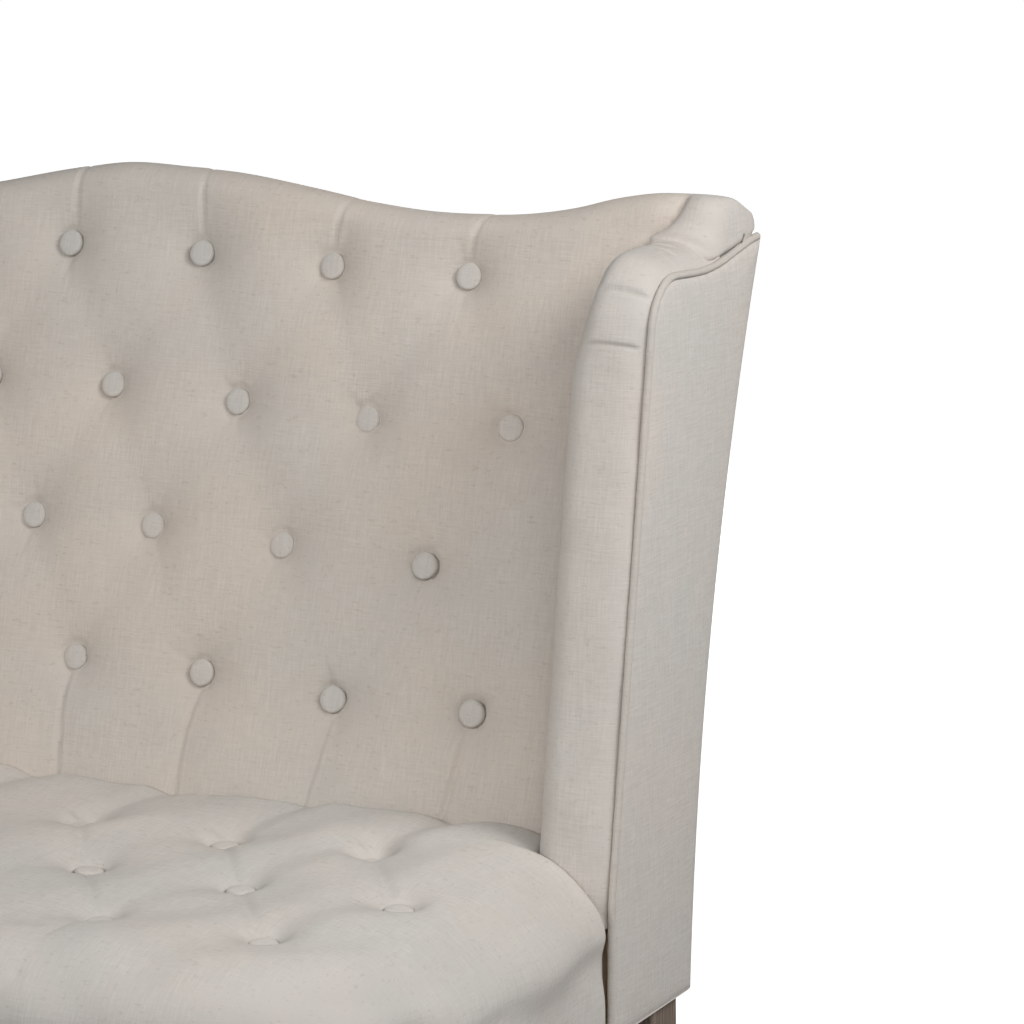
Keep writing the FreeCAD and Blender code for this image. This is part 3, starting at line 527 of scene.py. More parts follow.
def backColumns(step):
    # places across, how far the section is drawn in at its top and front there, and how open it is
    innerX, endX = backPad["innerX"], crest["endX"]
    frontR, endR = crest["frontRadius"], crest["endRadius"]
    inner = np.linspace(-innerX, innerX, int(2 * innerX / step))
    turn = np.linspace(0, math.pi / 2, 12)
    ends = endX - frontR + frontR * np.sin(turn)
    closing = np.linspace(0, 1, 9)[1:]
    straight = np.linspace(innerX + 0.002, ends[0] - 0.002, 9)
    ear = np.concatenate([[innerX + 1e-5], straight, ends, endX + 0.002 * np.sin(closing * math.pi / 2)])
    # the crest's section is drawn in round its end, and then closes on itself
    past = np.clip(ends - (endX - endR), 0, endR)
    toMiddle = (crest["rollDepth"] - frontR - endR - crest["endSlit"]) / 2 * closing
    full = np.zeros(1 + len(straight))
    drawnTop = np.concatenate([full, endR - np.sqrt(endR ** 2 - past ** 2), endR + toMiddle])
    drawnFront = np.concatenate([full, frontR * (1 - np.cos(turn)), frontR + toMiddle])
    closed = np.concatenate([full, 0 * turn, closing])
    middle = np.zeros(len(inner))
    mirrored = [np.concatenate([v[::-1], middle, v]) for v in (drawnTop, drawnFront, closed)]
    return np.concatenate([-ear[::-1], inner, ear]), mirrored[0], mirrored[1], 1 - mirrored[2]


def pressPits(rows, x, walk, nearby, move):
    # a pit for each button, with small folds that run out of it
    for places in rows:
        for bx, bu in places:
            area = nearby(bx, 0.11)
            dx, du = x[area] - bx, walk[area] - bu
            gap = np.hypot(dx, du)
            depth = tufts["depth"] * rng.uniform(0.88, 1.12)
            dent = depth * np.exp(-np.maximum(gap - 0.010, 0) / tufts["pitWidth"])
            dent += tufts["hollow"] * bell(gap, tufts["hollowWidth"])
            dent += tufts["ring"] * bell(gap - 0.0125, 0.0016)
            theta = np.arctan2(du, dx)
            for _ in range(tufts["folds"]):
                way = rng.uniform(-math.pi, math.pi)
                turnAway = np.abs(np.angle(np.exp(1j * (theta - way))))
                length = rng.uniform(*tufts["foldLength"])
                fold = bell(turnAway * gap, 0.0028) * bell(gap - 0.014, length)
                dent += rng.uniform(*tufts["foldDepth"]) * fold
            move[area] -= dent


def pullDiagonals(rows, x, walk, nearby, move):
    # faint diagonal pulls between neighbouring buttons
    for lower, upper in zip(rows, rows[1:]):
        for bx, bu in lower:
            for cx, cu in upper:
                if abs(abs(bx - cx) - tufts["spacing"] / 2) < 0.020:
                    area = nearby((bx + cx) / 2, 0.09)
                    ax, au = cx - bx, cu - bu
                    length = math.hypot(ax, au)
                    along = ((x[area] - bx) * ax + (walk[area] - bu) * au) / length ** 2
                    side = ((x[area] - bx) * -au + (walk[area] - bu) * ax) / length
                    inside = smoothStep(along, 0.0, 0.2) * (1 - smoothStep(along, 0.8, 1.0))
                    pull = rng.uniform(*tufts["pull"]) * inside
                    move[area] -= pull * bell(side, tufts["pullWidth"])


def foldPleats(rows, x, walk, nearby, straightness, move):
    # pleats over the crest and down to the seat: a sharp fold with one side higher
    overCrest = (rows[-1], 1, (-0.12, 0.18), (0.10, 0.13))
    toSeat = (rows[0], -1, (-0.16, 0.02), (0.16, 0.3))
    for places, way, slant, fade in (overCrest, toSeat):
        for bx, bu in places:
            area = nearby(bx, 0.09)
            far = (walk[area] - bu) * way
            bend = rng.uniform(*slant) * far + 0.0025 * np.sin(far * 35 + bx * 40)
            side = x[area] - bx - bend
            on = smoothStep(far, 0.008, 0.022) * (1 - smoothStep(far, *fade))
            fold = pleat["fold"] * bell(side, pleat["foldWidth"])
            stepUp = pleat["step"] * np.tanh(side / 0.004) * bell(side, 0.020)
            hollow = pleat["hollow"] * bell(side, pleat["hollowWidth"]) * straightness[area]
            move[area] -= on * ((fold + stepUp) * (0.35 + 0.65 * straightness[area]) + hollow)


def padTop(mid):
    # how full a wing's pad is at a share across, past the middle
    return 1 - np.clip((mid - 0.45) / 0.55, 0, 1) ** 2.4


def tuftedBack():
    r = crest["rollRadius"]
    step = 0.0024
    xs, drawnTop, drawnFront, openEnd = backColumns(step)
    top = crestUp(xs) - drawnTop
    front = padCrown - drawnFront
    rearOut = padCrown - crest["rollDepth"] + drawnTop
    roll = np.minimum(r, (front - rearOut) / 2 - 0.0003)
    isEar = np.abs(xs) > backPad["innerX"]
    low = np.where(isEar, upSlope(backPad["earTop"]) - backPad["earHeight"], backPad["low"])
    frontRows, quarterRows = int(0.5 / step), 14
    t = np.linspace(0, 1, frontRows)[:, None]
    frontUp = backPad["low"] + (top - roll - backPad["low"]) * t
    # the crest's end has no lower part
    frontUp = np.maximum(frontUp, low + 1e-5 * np.arange(frontRows)[:, None])
    quarter = np.linspace(0, math.pi / 2, quarterRows + 1)[1:, None]
    overUp = top - roll + roll * np.sin(quarter)
    overOut = front - roll + roll * np.cos(quarter)
    rearRoll = roll * (1 - crest["rearTighter"] * smoothStep(np.abs(xs), crest["endFrom"], 0.775))
    backUp = top - rearRoll + rearRoll * np.cos(quarter)
    backOut = rearOut + rearRoll - rearRoll * np.sin(quarter)
    foldUp = np.maximum(top - crest["rollHeight"], low + 0.001)[None, :]
    hiddenUp = foldUp + (low - foldUp) * np.linspace(0, 1, 12)[:, None]
    hiddenOut = np.clip(backPad["rear"], rearOut, front) + 0 * hiddenUp
    up = np.concatenate([frontUp, overUp, backUp, foldUp, hiddenUp])
    out = np.concatenate([front + 0 * frontUp, overOut, backOut, rearOut + 0 * foldUp, hiddenOut])
    rows, cols = up.shape
    x = np.broadcast_to(xs, up.shape)

    # angle of the surface: 0 faces the front, a quarter turn is the top of the crest
    over, behind = frontRows + quarterRows, frontRows + 2 * quarterRows
    angle = np.full(rows, math.pi)
    angle[:frontRows] = 0
    angle[frontRows:over] = quarter[:, 0]
    angle[over:behind] = math.pi / 2 + quarter[:, 0]
    angle = angle[:, None]
    row = np.arange(rows)[:, None]
    onFront, shown = row < frontRows, row < behind
    walk = np.where(onFront, up, top - roll + angle * roll)
    straightness = 1 - smoothStep(walk, top - r - 0.01, top)
    # the crest's end falls to the rear
    atEnd = smoothStep(np.abs(x), crest["endFrom"], 0.785)
    overTop = shown & ~onFront
    up = up - overTop * openEnd * crest["rearFall"] * atEnd * np.maximum(padCrown - r - out, 0)
    height = leaning(x, up, out)[..., 2]
    # past the seam the cover runs down into the wing's pad
    curve = 1 - np.clip((height - earSeam["footZ"]) / earSeam["curveHeight"], 0, 1)
    seamX = earSeam["x"] - earSeam["drawIn"] * curve ** 2
    pastSeam = smoothStep(np.abs(x) - seamX, -0.001, 0.007)
    mid = np.clip((np.abs(x) - wingInnerX) / (padOuterX - wingInnerX), 0, 1)
    footHeight = earSeam["padZ"] + earSeam["padRise"] * np.sqrt(padTop(mid))
    fillet = crest["filletRadius"]
    below = np.clip(fillet - (height - footHeight), 0, fillet)
    out = out + onFront * openEnd * pastSeam * (fillet - np.sqrt(fillet ** 2 - below ** 2))

    def nearby(bx, reach):
        columnsNear = np.nonzero(np.abs(xs - bx) < reach)[0]
        return slice(0, behind), slice(columnsNear[0], columnsNear[-1] + 1)

    move = np.zeros(up.shape)
    rowsOfButtons = backButtons()
    pressPits(rowsOfButtons, x, walk, nearby, move)
    pullDiagonals(rowsOfButtons, x, walk, nearby, move)
    foldPleats(rowsOfButtons, x, walk, nearby, straightness, move)
    # the seam's groove, and the fuller cloth past it
    gap = np.abs(np.abs(x) - seamX)
    on = smoothStep(height, 0.925, 0.935) * (1 - smoothStep(angle, 0.55, 1.5))
    fuller = earSeam["fuller"] * pastSeam * np.exp(-gap / 0.030)
    groove = earSeam["groove"] * bell(gap, 0.0022)
    move += on * (fuller - groove - earSeam["hollow"] * bell(gap, 0.011))
    points = leaning(x, up, out)
    ripple = 0.0012 * gentleNoise(points, 26, 3) + 0.0006 * gentleNoise(points, 70, 4)
    move = np.where(shown, move + ripple * (0.4 + 0.6 * straightness), 0) * openEnd
    up = up + move * np.sin(angle)
    out = out + move * np.cos(angle)
    points = leaning(x, up, out)
    # above the wing's piping the crest's end is fuller, and goes in behind it
    weltLine = wingPath(coverFoot, wing["rearY"])
    weltLine = weltLine[weltLine[:, 1] > 0.90]
    overWelt = points[..., 2] - np.interp(points[..., 1], weltLine[:, 0], weltLine[:, 1])
    wide = (crest["overWelt"] - crest["atWelt"]) * smoothStep(overWelt, 0.002, 0.010) + crest["atWelt"]
    points[..., 0] += np.sign(x) * smoothStep(np.abs(x), 0.766, 0.787) * wide
    faces = gridFaces(rows, cols, wrapRows=True)
    faces.append(tuple(range(0, rows * cols, cols)))
    faces.append(tuple(range(cols - 1, rows * cols, cols))[::-1])
    # the back's cloth is tinted warmer, partly its own tone and partly painted warm bounce light in the recess
    piece = newPiece("tuftedBack", points.reshape(-1, 3), faces, backLinenPaintedBounce, ["tufted_back"])
    piece.data.materials.append(linenCloth)  # the crest's ends have the plain cloth, without the painted warm bounce light of the back's cloth
    past = (np.abs(x) > seamX).reshape(-1)
    piece.data.polygons.foreach_set("material_index", [int(past[face[0]]) for face in faces])
    flipIfInsideOut(piece)


tuftedBack()
print("back done")


# tufted seat

seat = {
    "top": 0.488,
    "sag": 0.0185,
    "roll": 0.060,
    "cornerRadius": 0.170,
    "sideFall": 0.019,
    "rearFall": 0.0040,
    "depths": (0.0125, 0.0085, 0.0080),
    "pitWidth": 0.0075,
    "hollow": 0.0045,
    "fullness": 0.0095,
    "spacing": (0.133, 0.137, 0.141),
    "firstRow": 0.125,  # from the back's lowest buttons
    "rowStep": 0.112,
    "pitOut": 0.012,  # the pits lie a little outward and ahead of their even places
    "buttonOut": 0.009,
    "ahead": 0.006,
}
# depth of a crease, depth of the sharp tuck in it, and the crease's width
seatCreases = {
    "between": (0.0020, 0.0036, 0.017),
    "rear": (0.0070, 0.0, 0.016),
    "front": (0.0014, 0.0030, 0.012),
}


def seatSag(x):
    # how far the seat lies under its top at a place across
    return seat["sag"] * (1 - (x / halfWidth) ** 2)


def seatButtons():
    rows = []
    for row, spacing in enumerate(seat["spacing"]):
        xs = columns(spacing, seatSideX - 0.095, row % 2 == 0)
        y = buttonLineY - seat["firstRow"] - row * seat["rowStep"]
        rows.append([(x, y, seat["top"]) for x in xs])
    return rows


def cornerButtons():
    # middle of each corner button on the rolled edge, with the way it faces
    turn, lift, r = math.radians(22), math.radians(10), seat["roll"]
    reach = seat["cornerRadius"] - r + (r - 0.010) * math.cos(lift)
    places = []
    for side in (-1, 1):
        level = math.cos(lift)
        axis = np.array([side * level * math.cos(turn), -level * math.sin(turn), math.sin(lift)])
        x = side * (seatCornerX + reach * math.cos(turn))
        z = seat["top"] - r + (r - 0.010) * math.sin(lift)
        places.append((np.array([x, seatCornerY - reach * math.sin(turn), z]), axis))
    return places


def seatPlan():
    # the cover's plan, anticlockwise, with a step round each wing
    corner = seat["cornerRadius"]
    innerX = wingInnerX - 0.0003
    rear = slopeY(0.47, padCrown) + 0.006
    earY = seatEarY + 0.0150
    turn = np.linspace(0, math.pi / 2, 24)
    right = [(seatCornerX + corner * math.sin(a), seatCornerY - corner * math.cos(a)) for a in turn]
    right += [(seatSideX, earY), (innerX, earY), (innerX, rear)]
    left = [(-x, y) for x, y in reversed(right)]
    return right + left


def remeshed(name, vertices, faces, voxel):
    mesh = bpy.data.meshes.new(name)
    mesh.from_pydata(vertices, [], faces)
    holder = addObject(name, mesh)
    modifier = holder.modifiers.new("voxels", "REMESH")
    modifier.mode = "VOXEL"
    modifier.voxel_size = voxel
    graph = bpy.context.evaluated_depsgraph_get()
    done = bpy.data.meshes.new_from_object(holder.evaluated_get(graph))
    bpy.data.objects.remove(holder)
    places, polygons = verticesOf(done), [tuple(p.vertices) for p in done.polygons]
    bpy.data.meshes.remove(done)
    return places, polygons


def tuftedSeat():
    plan = seatPlan()
    count = len(plan)
    top, r = seat["top"], seat["roll"]
    vertices = [(x, y, coverFoot) for x, y in plan] + [(x, y, top) for x, y in plan]
    faces = [tuple(range(count))[::-1], tuple(range(count, 2 * count))]
    faces += [(i, (i + 1) % count, (i + 1) % count + count, i + count) for i in range(count)]
    p, polygons = remeshed("seat_base", vertices, faces, 0.0034)

    x, y, z = p[:, 0].copy(), p[:, 1].copy(), p[:, 2].copy()
    ax = np.abs(x)
    sign = np.where(x < 0, -1.0, 1.0)
    corner = (ax > seatCornerX) & (y < seatCornerY)
    side = (ax > seatCornerX) & ~corner & (y < seatEarY + 0.0170)
    front = (ax <= seatCornerX) & (y < seatCornerY)
    inset = np.full(len(p), 1.0)
    outX, outY = np.zeros(len(p)), np.zeros(len(p))
    radius = np.hypot(ax - seatCornerX, y - seatCornerY)
    inset[corner] = seat["cornerRadius"] - radius[corner]
    outX[corner] = (sign * (ax - seatCornerX))[corner] / radius[corner]
    outY[corner] = (y - seatCornerY)[corner] / radius[corner]
    inset[side] = seatSideX - ax[side]
    outX[side] = sign[side]
    inset[front] = y[front] - seatFrontY
    outY[front] = -1.0
    a = np.clip(r - inset, 0, r)
    b = np.clip(z - (top - r), 0, r)
    long = np.maximum(np.hypot(a, b), 1e-9)
    rolled = (a > 0) & (b > 0)
    newInset = np.where(rolled, r - r * a / long, inset)
    shift = newInset - inset
    x -= outX * shift
    y -= outY * shift
    z = np.where(rolled, top - r + r * b / long, z)
    normal = np.stack([outX * a, outY * a, b], axis=1)
    onTop = (z > top - 0.002) & (a <= 0)
    onWall = (inset < 0.003) & (b <= 0)
    normal[onTop] = (0, 0, 1)
    normal /= np.maximum(np.linalg.norm(normal, axis=1), 1e-9)[:, None]
    shown = onTop | onWall | rolled
    normal[~shown] = 0
    flat = np.stack([x, y, z], axis=1)

    move = np.zeros(len(p))
    rows = seatButtons()
    for row, deep in zip(rows, seat["depths"]):
        for px, py, pz in row:
            pit = np.array([px + math.copysign(seat["pitOut"], px), py - seat["ahead"], pz])
            gap = np.linalg.norm(flat - pit, axis=1)
            near = gap < 0.15
            depth = deep * rng.uniform(0.94, 1.06)
            move[near] -= depth * np.exp(-(np.maximum(gap[near] - 0.010, 0) / seat["pitWidth"]))
            move[near] -= seat["hollow"] * bell(gap[near], 0.040)
    for place, axis in cornerButtons():
        gap = np.linalg.norm(flat - (place + 0.010 * axis), axis=1)
        near = gap < 0.10
        move[near] -= 0.011 * np.exp(-(np.maximum(gap[near] - 0.009, 0) / 0.013))
    creases = []
    depth, tuck, width = seatCreases["between"]
    for rear, ahead in ((rows[0], rows[1]), (rows[1], rows[2])):
        for b0 in rear:
            for b1 in ahead:
                if abs(b0[0] - b1[0]) < 0.095:
                    outward = (b1[0] - b0[0]) * b0[0] > 0  # only the creases that run outward are tucked
                    creases.append(([b0, b1], depth, tuck if outward else 0.0, width))
    for x0, y0, _ in rows[0]:
        way = math.copysign(1, x0)
        back = [(x0, y0, top), (x0 + 0.014 * way, y0 + 0.034, top)]
        back.append((x0 + 0.037 * way, slopeY(top, padCrown), top))
        creases.append((back, *seatCreases["rear"]))
    for x0, y0, _ in rows[2]:
        over = [(x0, y0, top), (x0 * 1.01, seatFrontY + r, top)]
        over.append((x0 * 1.015, seatFrontY + r * 0.3, top - r * 0.3))
        over += [(x0 * 1.02, seatFrontY, top - r), (x0 * 1.02, seatFrontY, 0.37)]
        if abs(x0) < 0.6:
            creases.append((over, *seatCreases["front"]))
    for path, depth, tuck, width in creases:
        low = np.min(path, axis=0) - 0.05
        high = np.max(path, axis=0) + 0.05
        near = np.all((flat > low) & (flat < high), axis=1)
        gap, along = toPolyline(flat[near], path)
        fade = smoothStep(along, 0, 0.1) * (1 - 0.4 * np.sin(math.pi * along))
        move[near] -= fade * depth * bell(gap, width)
        move[near] -= tuck * smoothStep(along, 0, 0.15) * bell(gap, 0.0024)
    sag = seatSag(x)
    sag = sag + seat["sideFall"] * smoothStep(ax, 0.67, 0.79) ** 1.5
    sag = sag + seat["rearFall"] * smoothStep(y, -0.02, 0.07) * (1 - smoothStep(ax, 0.40, 0.52))
    z -= smoothStep(z, top - r - 0.03, top) * sag
    puff = 0.0025 * gentleNoise(flat, 30, 11) + 0.0012 * gentleNoise(flat, 75, 12)
    inner = np.minimum(smoothStep(ax, wingInnerX + 0.01, wingInnerX - 0.04) + (y < seatEarY + 0.012), 1)
    thin = 0.003  # fullness low down and beside the wings
    upper = smoothStep(flat[:, 2], top - r - 0.03, top - 0.3 * r)
    fullness = thin + (seat["fullness"] - thin) * inner * upper
    move += np.where(shown, fullness + puff, 0) * smoothStep(flat[:, 2], 0.36, 0.42)
    p = np.stack([x, y, z], axis=1) + normal * move[:, None]
    names = ["tufted_seat", "front_border", "left_border", "right_border"]
    piece = newPiece("tuftedSeat", p, polygons, linenCloth, names)
    smooth = piece.modifiers.new("soften", "SMOOTH")
    smooth.factor = 0.5
    smooth.iterations = 3


tuftedSeat()
print("seat done")


# covered buttons

button = {
    "radius": 0.0113,
    "rise": 0.0036,
    "tilt": 0.06,
    "backDepth": 0.0117,  # how deep the back's buttons lie under its crown
    # rings of the domed cap with its rolled rim: share of the radius, share of the rise
    "rings": (
        (0.4, 0.99), (0.68, 0.95), (0.84, 0.86), (0.94, 0.68),
        (0.99, 0.42), (1.0, 0.1), (0.97, -0.3), (0.9, -0.5),
    ),
}


def buttonMesh():
    radius, rise, rings = button["radius"], button["rise"], button["rings"]
    spokes = 28
    points = []
    for share, height in rings:
        for k in range(spokes):
            angle = 2 * math.pi * k / spokes
            points.append((radius * share * math.cos(angle), radius * share * math.sin(angle), rise * height))
    points.append((0, 0, rise))
    points.append((0, 0, -0.5 * rise))
    top, bottom = len(points) - 2, len(points) - 1
    faces = gridFaces(len(rings), spokes, wrapCols=True)
    last = (len(rings) - 1) * spokes
    for k in range(spokes):
        n = (k + 1) % spokes
        faces.append((top, k, n))
        faces.append((bottom, last + n, last + k))
    return np.array(points), faces


def buttonRow(name, centres, axes, node):
    base, baseFaces = buttonMesh()
    allPoints, allFaces = [], []
    for index, (centre, axis) in enumerate(zip(centres, axes)):
        axis = unit(np.asarray(axis, float))
        side = unit(np.cross((0.0, 0.0, 1.0) if abs(axis[2]) < 0.9 else (0.0, 1.0, 0.0), axis))
        other = np.cross(axis, side)
        tilt = rng.uniform(-button["tilt"], button["tilt"], 2)
        leaned = unit(axis + tilt[0] * side + tilt[1] * other)
        side = unit(np.cross(other, leaned))
        other = np.cross(leaned, side)
        turned = base @ np.stack([side, other, leaned]) + np.asarray(centre)
        allFaces += [tuple(i + len(base) * index for i in face) for face in baseFaces]
        allPoints.append(turned)
    newPiece(name, np.concatenate(allPoints), allFaces, linenCloth, [node])


outOfBack = leaning(0, 0, 1) - leaning(0, 0, 0)
for row, places in enumerate(backButtons(), 1):
    centres = leaning(places[:, 0], places[:, 1], padCrown - button["backDepth"])
    buttonRow("backButtonsRow%d" % row, centres, [outOfBack] * len(places), "back_buttons_row_%d" % row)
for row, (places, depth) in enumerate(zip(seatButtons(), seat["depths"]), 1):
    centres = []
    for x, y, z in places:
        floor = seat["fullness"] - seatSag(x) - depth - seat["hollow"]
        floor -= seat["sideFall"] * smoothStep(abs(x), 0.67, 0.79) ** 1.5
        centres.append((x + math.copysign(seat["buttonOut"], x), y - seat["ahead"], z + floor - 0.0006))
    buttonRow("seatButtonsRow%d" % row, centres, [(0, 0, 1)] * len(places), "seat_buttons_row_%d" % row)
centres, axes = zip(*cornerButtons())
buttonRow("seatButtonsRow4", centres, axes, "seat_buttons_row_4")
print("buttons done")


# wing pads, outside panels and piping

pad = {
    "footZ": 0.4323,
    "rounding": 0.017,
    "roundingAcross": 0.021,
    "crown": 0.0140,
    "shoulderCrown": 0.0085,  # the crown's rise past the shoulder
    "innerFall": 0.0030,
    "shoulderFall": 0.0060,
    "drawIn": 0.012,  # how far the inner edge draws in towards the shoulder
    # small pleats over the shoulder: place along the edge, first and last share across, depth
    "pleats": (
        (0.4465, 0.22, 0.93, 0.0022),
        (0.4825, 0.22, 0.97, 0.0032),
        (0.556, 0.30, 0.72, 0.0014),
        (0.540, 0.55, 0.85, 0.0010),
    ),
}


def wingPad(side, name, node):
    footZ, rounding, roundX = pad["footZ"], pad["rounding"], pad["roundingAcross"]
    path = wingPath(footZ, slopeY(0.931, padCrown - 0.012), 0.0015)
    outward = outwardNormals(path)
    rows = len(path)
    even = np.linspace(0, 1, rows)
    rearLow = slopeY(footZ, padCrown - 0.004)
    rear = np.stack([rearLow + (path[-1][0] - rearLow) * even, footZ + (path[-1][1] - footZ) * even], axis=1)
    # columns across the pad: x, then depth under the path, or a share of the way to its hidden rear
    across = [(wingInnerX, None, t) for t in np.linspace(1, 0.05, 16)]
    firstShown = len(across) + 1
    turn = np.linspace(0, math.pi / 2, 12)
    across += [(wingInnerX + roundX * (1 - math.cos(a)), rounding * (1 - math.sin(a)), None) for a in turn]
    across += [(x, 0.0, None) for x in np.linspace(wingInnerX + roundX, padOuterX - 0.0015, 20)[1:]]
    shown = slice(firstShown, len(across))
    across += [(padOuterX, depth, None) for depth in (0.0016, 0.008, 0.0155)]
    grid = np.zeros((rows, len(across), 3))
    walked = walkedLength(path)
    crown = pad["crown"] + pad["shoulderCrown"] * smoothStep(walked, 0.47, 0.56)
    narrower = smoothStep(walked, 0.415, 0.495)
    for column, (x, depth, t) in enumerate(across):
        if t is None:
            mid = np.clip((x - wingInnerX) / (padOuterX - wingInnerX), 0, 1)
            inward = np.clip((0.45 - mid) / 0.45, 0, 1) ** 2
            fall = (pad["innerFall"] + pad["shoulderFall"] * narrower) * inward
            swell = (crown - fall) * math.sqrt(padTop(mid)) - depth
            for place, first, last, deep in pad["pleats"]:
                on = smoothStep(mid, first - 0.08, first + 0.08)
                on = on * (1 - smoothStep(mid, last - 0.08, last + 0.02))
                gap = walked - place - 0.0024 * math.sin(math.pi * mid) - 0.0006 * mid
                swell = swell - on * deep * bell(gap, 0.0013)
                swell = swell + on * 0.35 * deep * np.tanh(gap / 0.003) * bell(gap, 0.010)
            line = path + outward * np.reshape(swell, (-1, 1))
        else:
            inset = path - outward * rounding
            line = inset + (rear - inset) * t
        edgeShare = np.clip((padOuterX - x) / (padOuterX - wingInnerX), 0, 1)
        grid[:, column, 0] = side * (x + pad["drawIn"] * narrower * edgeShare ** 2)
        grid[:, column, 1:] = line
    ripple = 0.0010 * gentleNoise(grid, 38, 21) + 0.0004 * gentleNoise(grid, 110, 22)
    grid[:, shown, 1:] += ripple[:, shown, None] * outward[:, None, :]
    piece = newPiece(name, grid.reshape(-1, 3), tubeFaces(*grid.shape[:2]), linenCloth, [node])
    flipIfInsideOut(piece)


# side view of the settee's rear: three points (y, z) of a circle
rearCurve = ((0.2105, 0.341), (0.245, 0.640), (0.330, 0.936))


def circleThrough(a, b, c):
    # middle and radius of the circle through three points
    (ax, ay), (bx, by), (cx, cy) = a, b, c
    d = 2 * (ax * (by - cy) + bx * (cy - ay) + cx * (ay - by))
    aa, bb, cc = ax ** 2 + ay ** 2, bx ** 2 + by ** 2, cx ** 2 + cy ** 2
    x = (aa * (by - cy) + bb * (cy - ay) + cc * (ay - by)) / d
    y = (aa * (cx - bx) + bb * (ax - cx) + cc * (bx - ax)) / d
    return x, y, math.hypot(ax - x, ay - y)


rearCentreY, rearCentreZ, rearRadius = circleThrough(*rearCurve)


def rearY(z, setback=0.0):
    return rearCentreY - np.sqrt((rearRadius + setback) ** 2 - (z - rearCentreZ) ** 2)


panel = {
    "footRadius": 0.006,
    "full": 0.0022,
    "turnedIn": 0.0022,
    "outerInset": 0.0004,
    "innerInset": 0.0030,
}


def outsidePanel(side, name, node):
    # flat cover of the wing's outside, a little full in the middle, its edges turned in
    front = wingPath(coverFoot, wing["rearY"])
    rows, cols = len(front), 60
    rearZ = coverFoot + (wing["backTop"] - coverFoot) * np.linspace(0, 1, rows)
    rear = np.stack([rearY(rearZ), rearZ], axis=1)
    t = 0.5 - 0.5 * np.cos(math.pi * np.linspace(0, 1, cols))
    faceGrid = front[:, None, :] * (1 - t)[None, :, None] + rear[:, None, :] * t[None, :, None]
    # the rear corner at the foot is rounded off
    r = panel["footRadius"]
    past = np.clip(faceGrid[..., 0] - (rearY(coverFoot) - r), 0, r)
    faceGrid[..., 1] = np.maximum(faceGrid[..., 1], coverFoot + r - np.sqrt(r * r - past * past))
    width = np.linalg.norm(front - rear, axis=1)[:, None]
    edge = np.minimum(np.minimum(t, 1 - t)[None, :] * width, faceGrid[..., 1] - coverFoot)
    fullness = panel["full"] * (1 - np.exp(-edge / 0.03)) - panel["turnedIn"] * np.exp(-edge / 0.0030)
    grid = np.zeros((rows, cols, 3))
    grid[..., 1:] = faceGrid
    grid[..., 0] = wingOuterX - panel["outerInset"] + fullness
    grid[..., 0] += 0.0005 * gentleNoise(grid, 35, 31) * (1 - np.exp(-edge / 0.02))
    inner = grid.copy()
    inner[..., 0] = wingOuterX - panel["innerInset"]
    piece = sheet(name, grid * (side, 1, 1), inner * (side, 1, 1), node)
    piece.data.validate()
    flipIfInsideOut(piece)


piping = {"radius": 0.0030, "inset": 0.0027, "rearGap": 0.0035, "spokes": 14}


def welt(side, name, node):
    # a cord along the wing's edge, a little uneven, with a rounded rear end
    radius, spokes = piping["radius"], piping["spokes"]
    path = wingPath(coverFoot, wing["rearY"] - piping["rearGap"], 0.0025)
    centre = path + outwardNormals(path) * radius
    x = np.full((len(centre), 1), side * (wingOuterX - piping["inset"]))
    path = np.concatenate([x, centre], axis=1)
    across = np.broadcast_to((1.0, 0.0, 0.0), path.shape)
    other = np.cross(tangents(path), across)
    other /= np.linalg.norm(other, axis=1)[:, None]
    angle = np.linspace(0, 2 * math.pi, spokes, endpoint=False)[None, :, None]
    walked = walkedLength(path)
    thick = radius * (1 + 0.03 * np.sin(walked * 190) + 0.02 * np.sin(walked * 517 + 1))
    toEnd = np.clip((walked[-1] - walked) / radius, 0, 1)
    thick *= np.sqrt(np.maximum(1 - (1 - toEnd) ** 2, 0.02))
    ring = np.cos(angle) * across[:, None, :] + np.sin(angle) * other[:, None, :]
    grid = path[:, None, :] + ring * thick[:, None, None]
    faces = tubeFaces(len(path), spokes)
    piece = newPiece(name, grid.reshape(-1, 3), faces, weltCloth, [node])
    flipIfInsideOut(piece)


for side, word, cad in ((1, "Right", "right"), (-1, "Left", "left")):
    wingPad(side, "wingPad" + word, cad + "_wing_pad")
    outsidePanel(side, "outsidePanel" + word, cad + "_outside_panel")
    welt(side, "welt" + word, cad + "_welt")
print("wings done")


# outside back

rearCover = {"halfWidth": 0.7855, "belowCrest": 0.028, "full": 0.0015, "turnedIn": 0.0016, "thickness": 0.0036}


def outsideBack():
    xs = np.linspace(-rearCover["halfWidth"], rearCover["halfWidth"], 200)
    # its top runs along the crest, where that height up the slope meets the rear curve
    topUp = crestUp(np.clip(np.abs(xs), 0, wingInnerX)) - rearCover["belowCrest"]
    topZ = np.full(len(xs), 0.93)
    for _ in range(12):
        out = (topZ - buttonLineZ) * math.sin(lean) - (rearY(topZ) - buttonLineY) * math.cos(lean)
        topZ = buttonLineZ + topUp * math.cos(lean) + out * math.sin(lean)
    z = coverFoot + (topZ[None, :] - coverFoot) * np.linspace(0, 1, 90)[:, None]
    x = np.broadcast_to(xs, z.shape)
    edge = np.minimum.reduce([z - coverFoot, topZ[None, :] - z, halfWidth - 0.0045 - np.abs(x)])
    inside = np.maximum(edge, 0)
    fullness = rearCover["full"] * (1 - np.exp(-inside / 0.04))
    fullness -= rearCover["turnedIn"] * np.exp(-inside / 0.003)
    outer = np.stack([x, rearY(z) + fullness, z], axis=-1)
    outer[..., 1] += 0.0006 * gentleNoise(outer, 25, 41) * (edge > 0.01)
    inner = np.stack([x, rearY(z, rearCover["thickness"]), z], axis=-1)
    flipIfInsideOut(sheet("outsideBack", outer, inner, "outside_back_panel"))


outsideBack()
print("outside back done")


# floor, light and camera

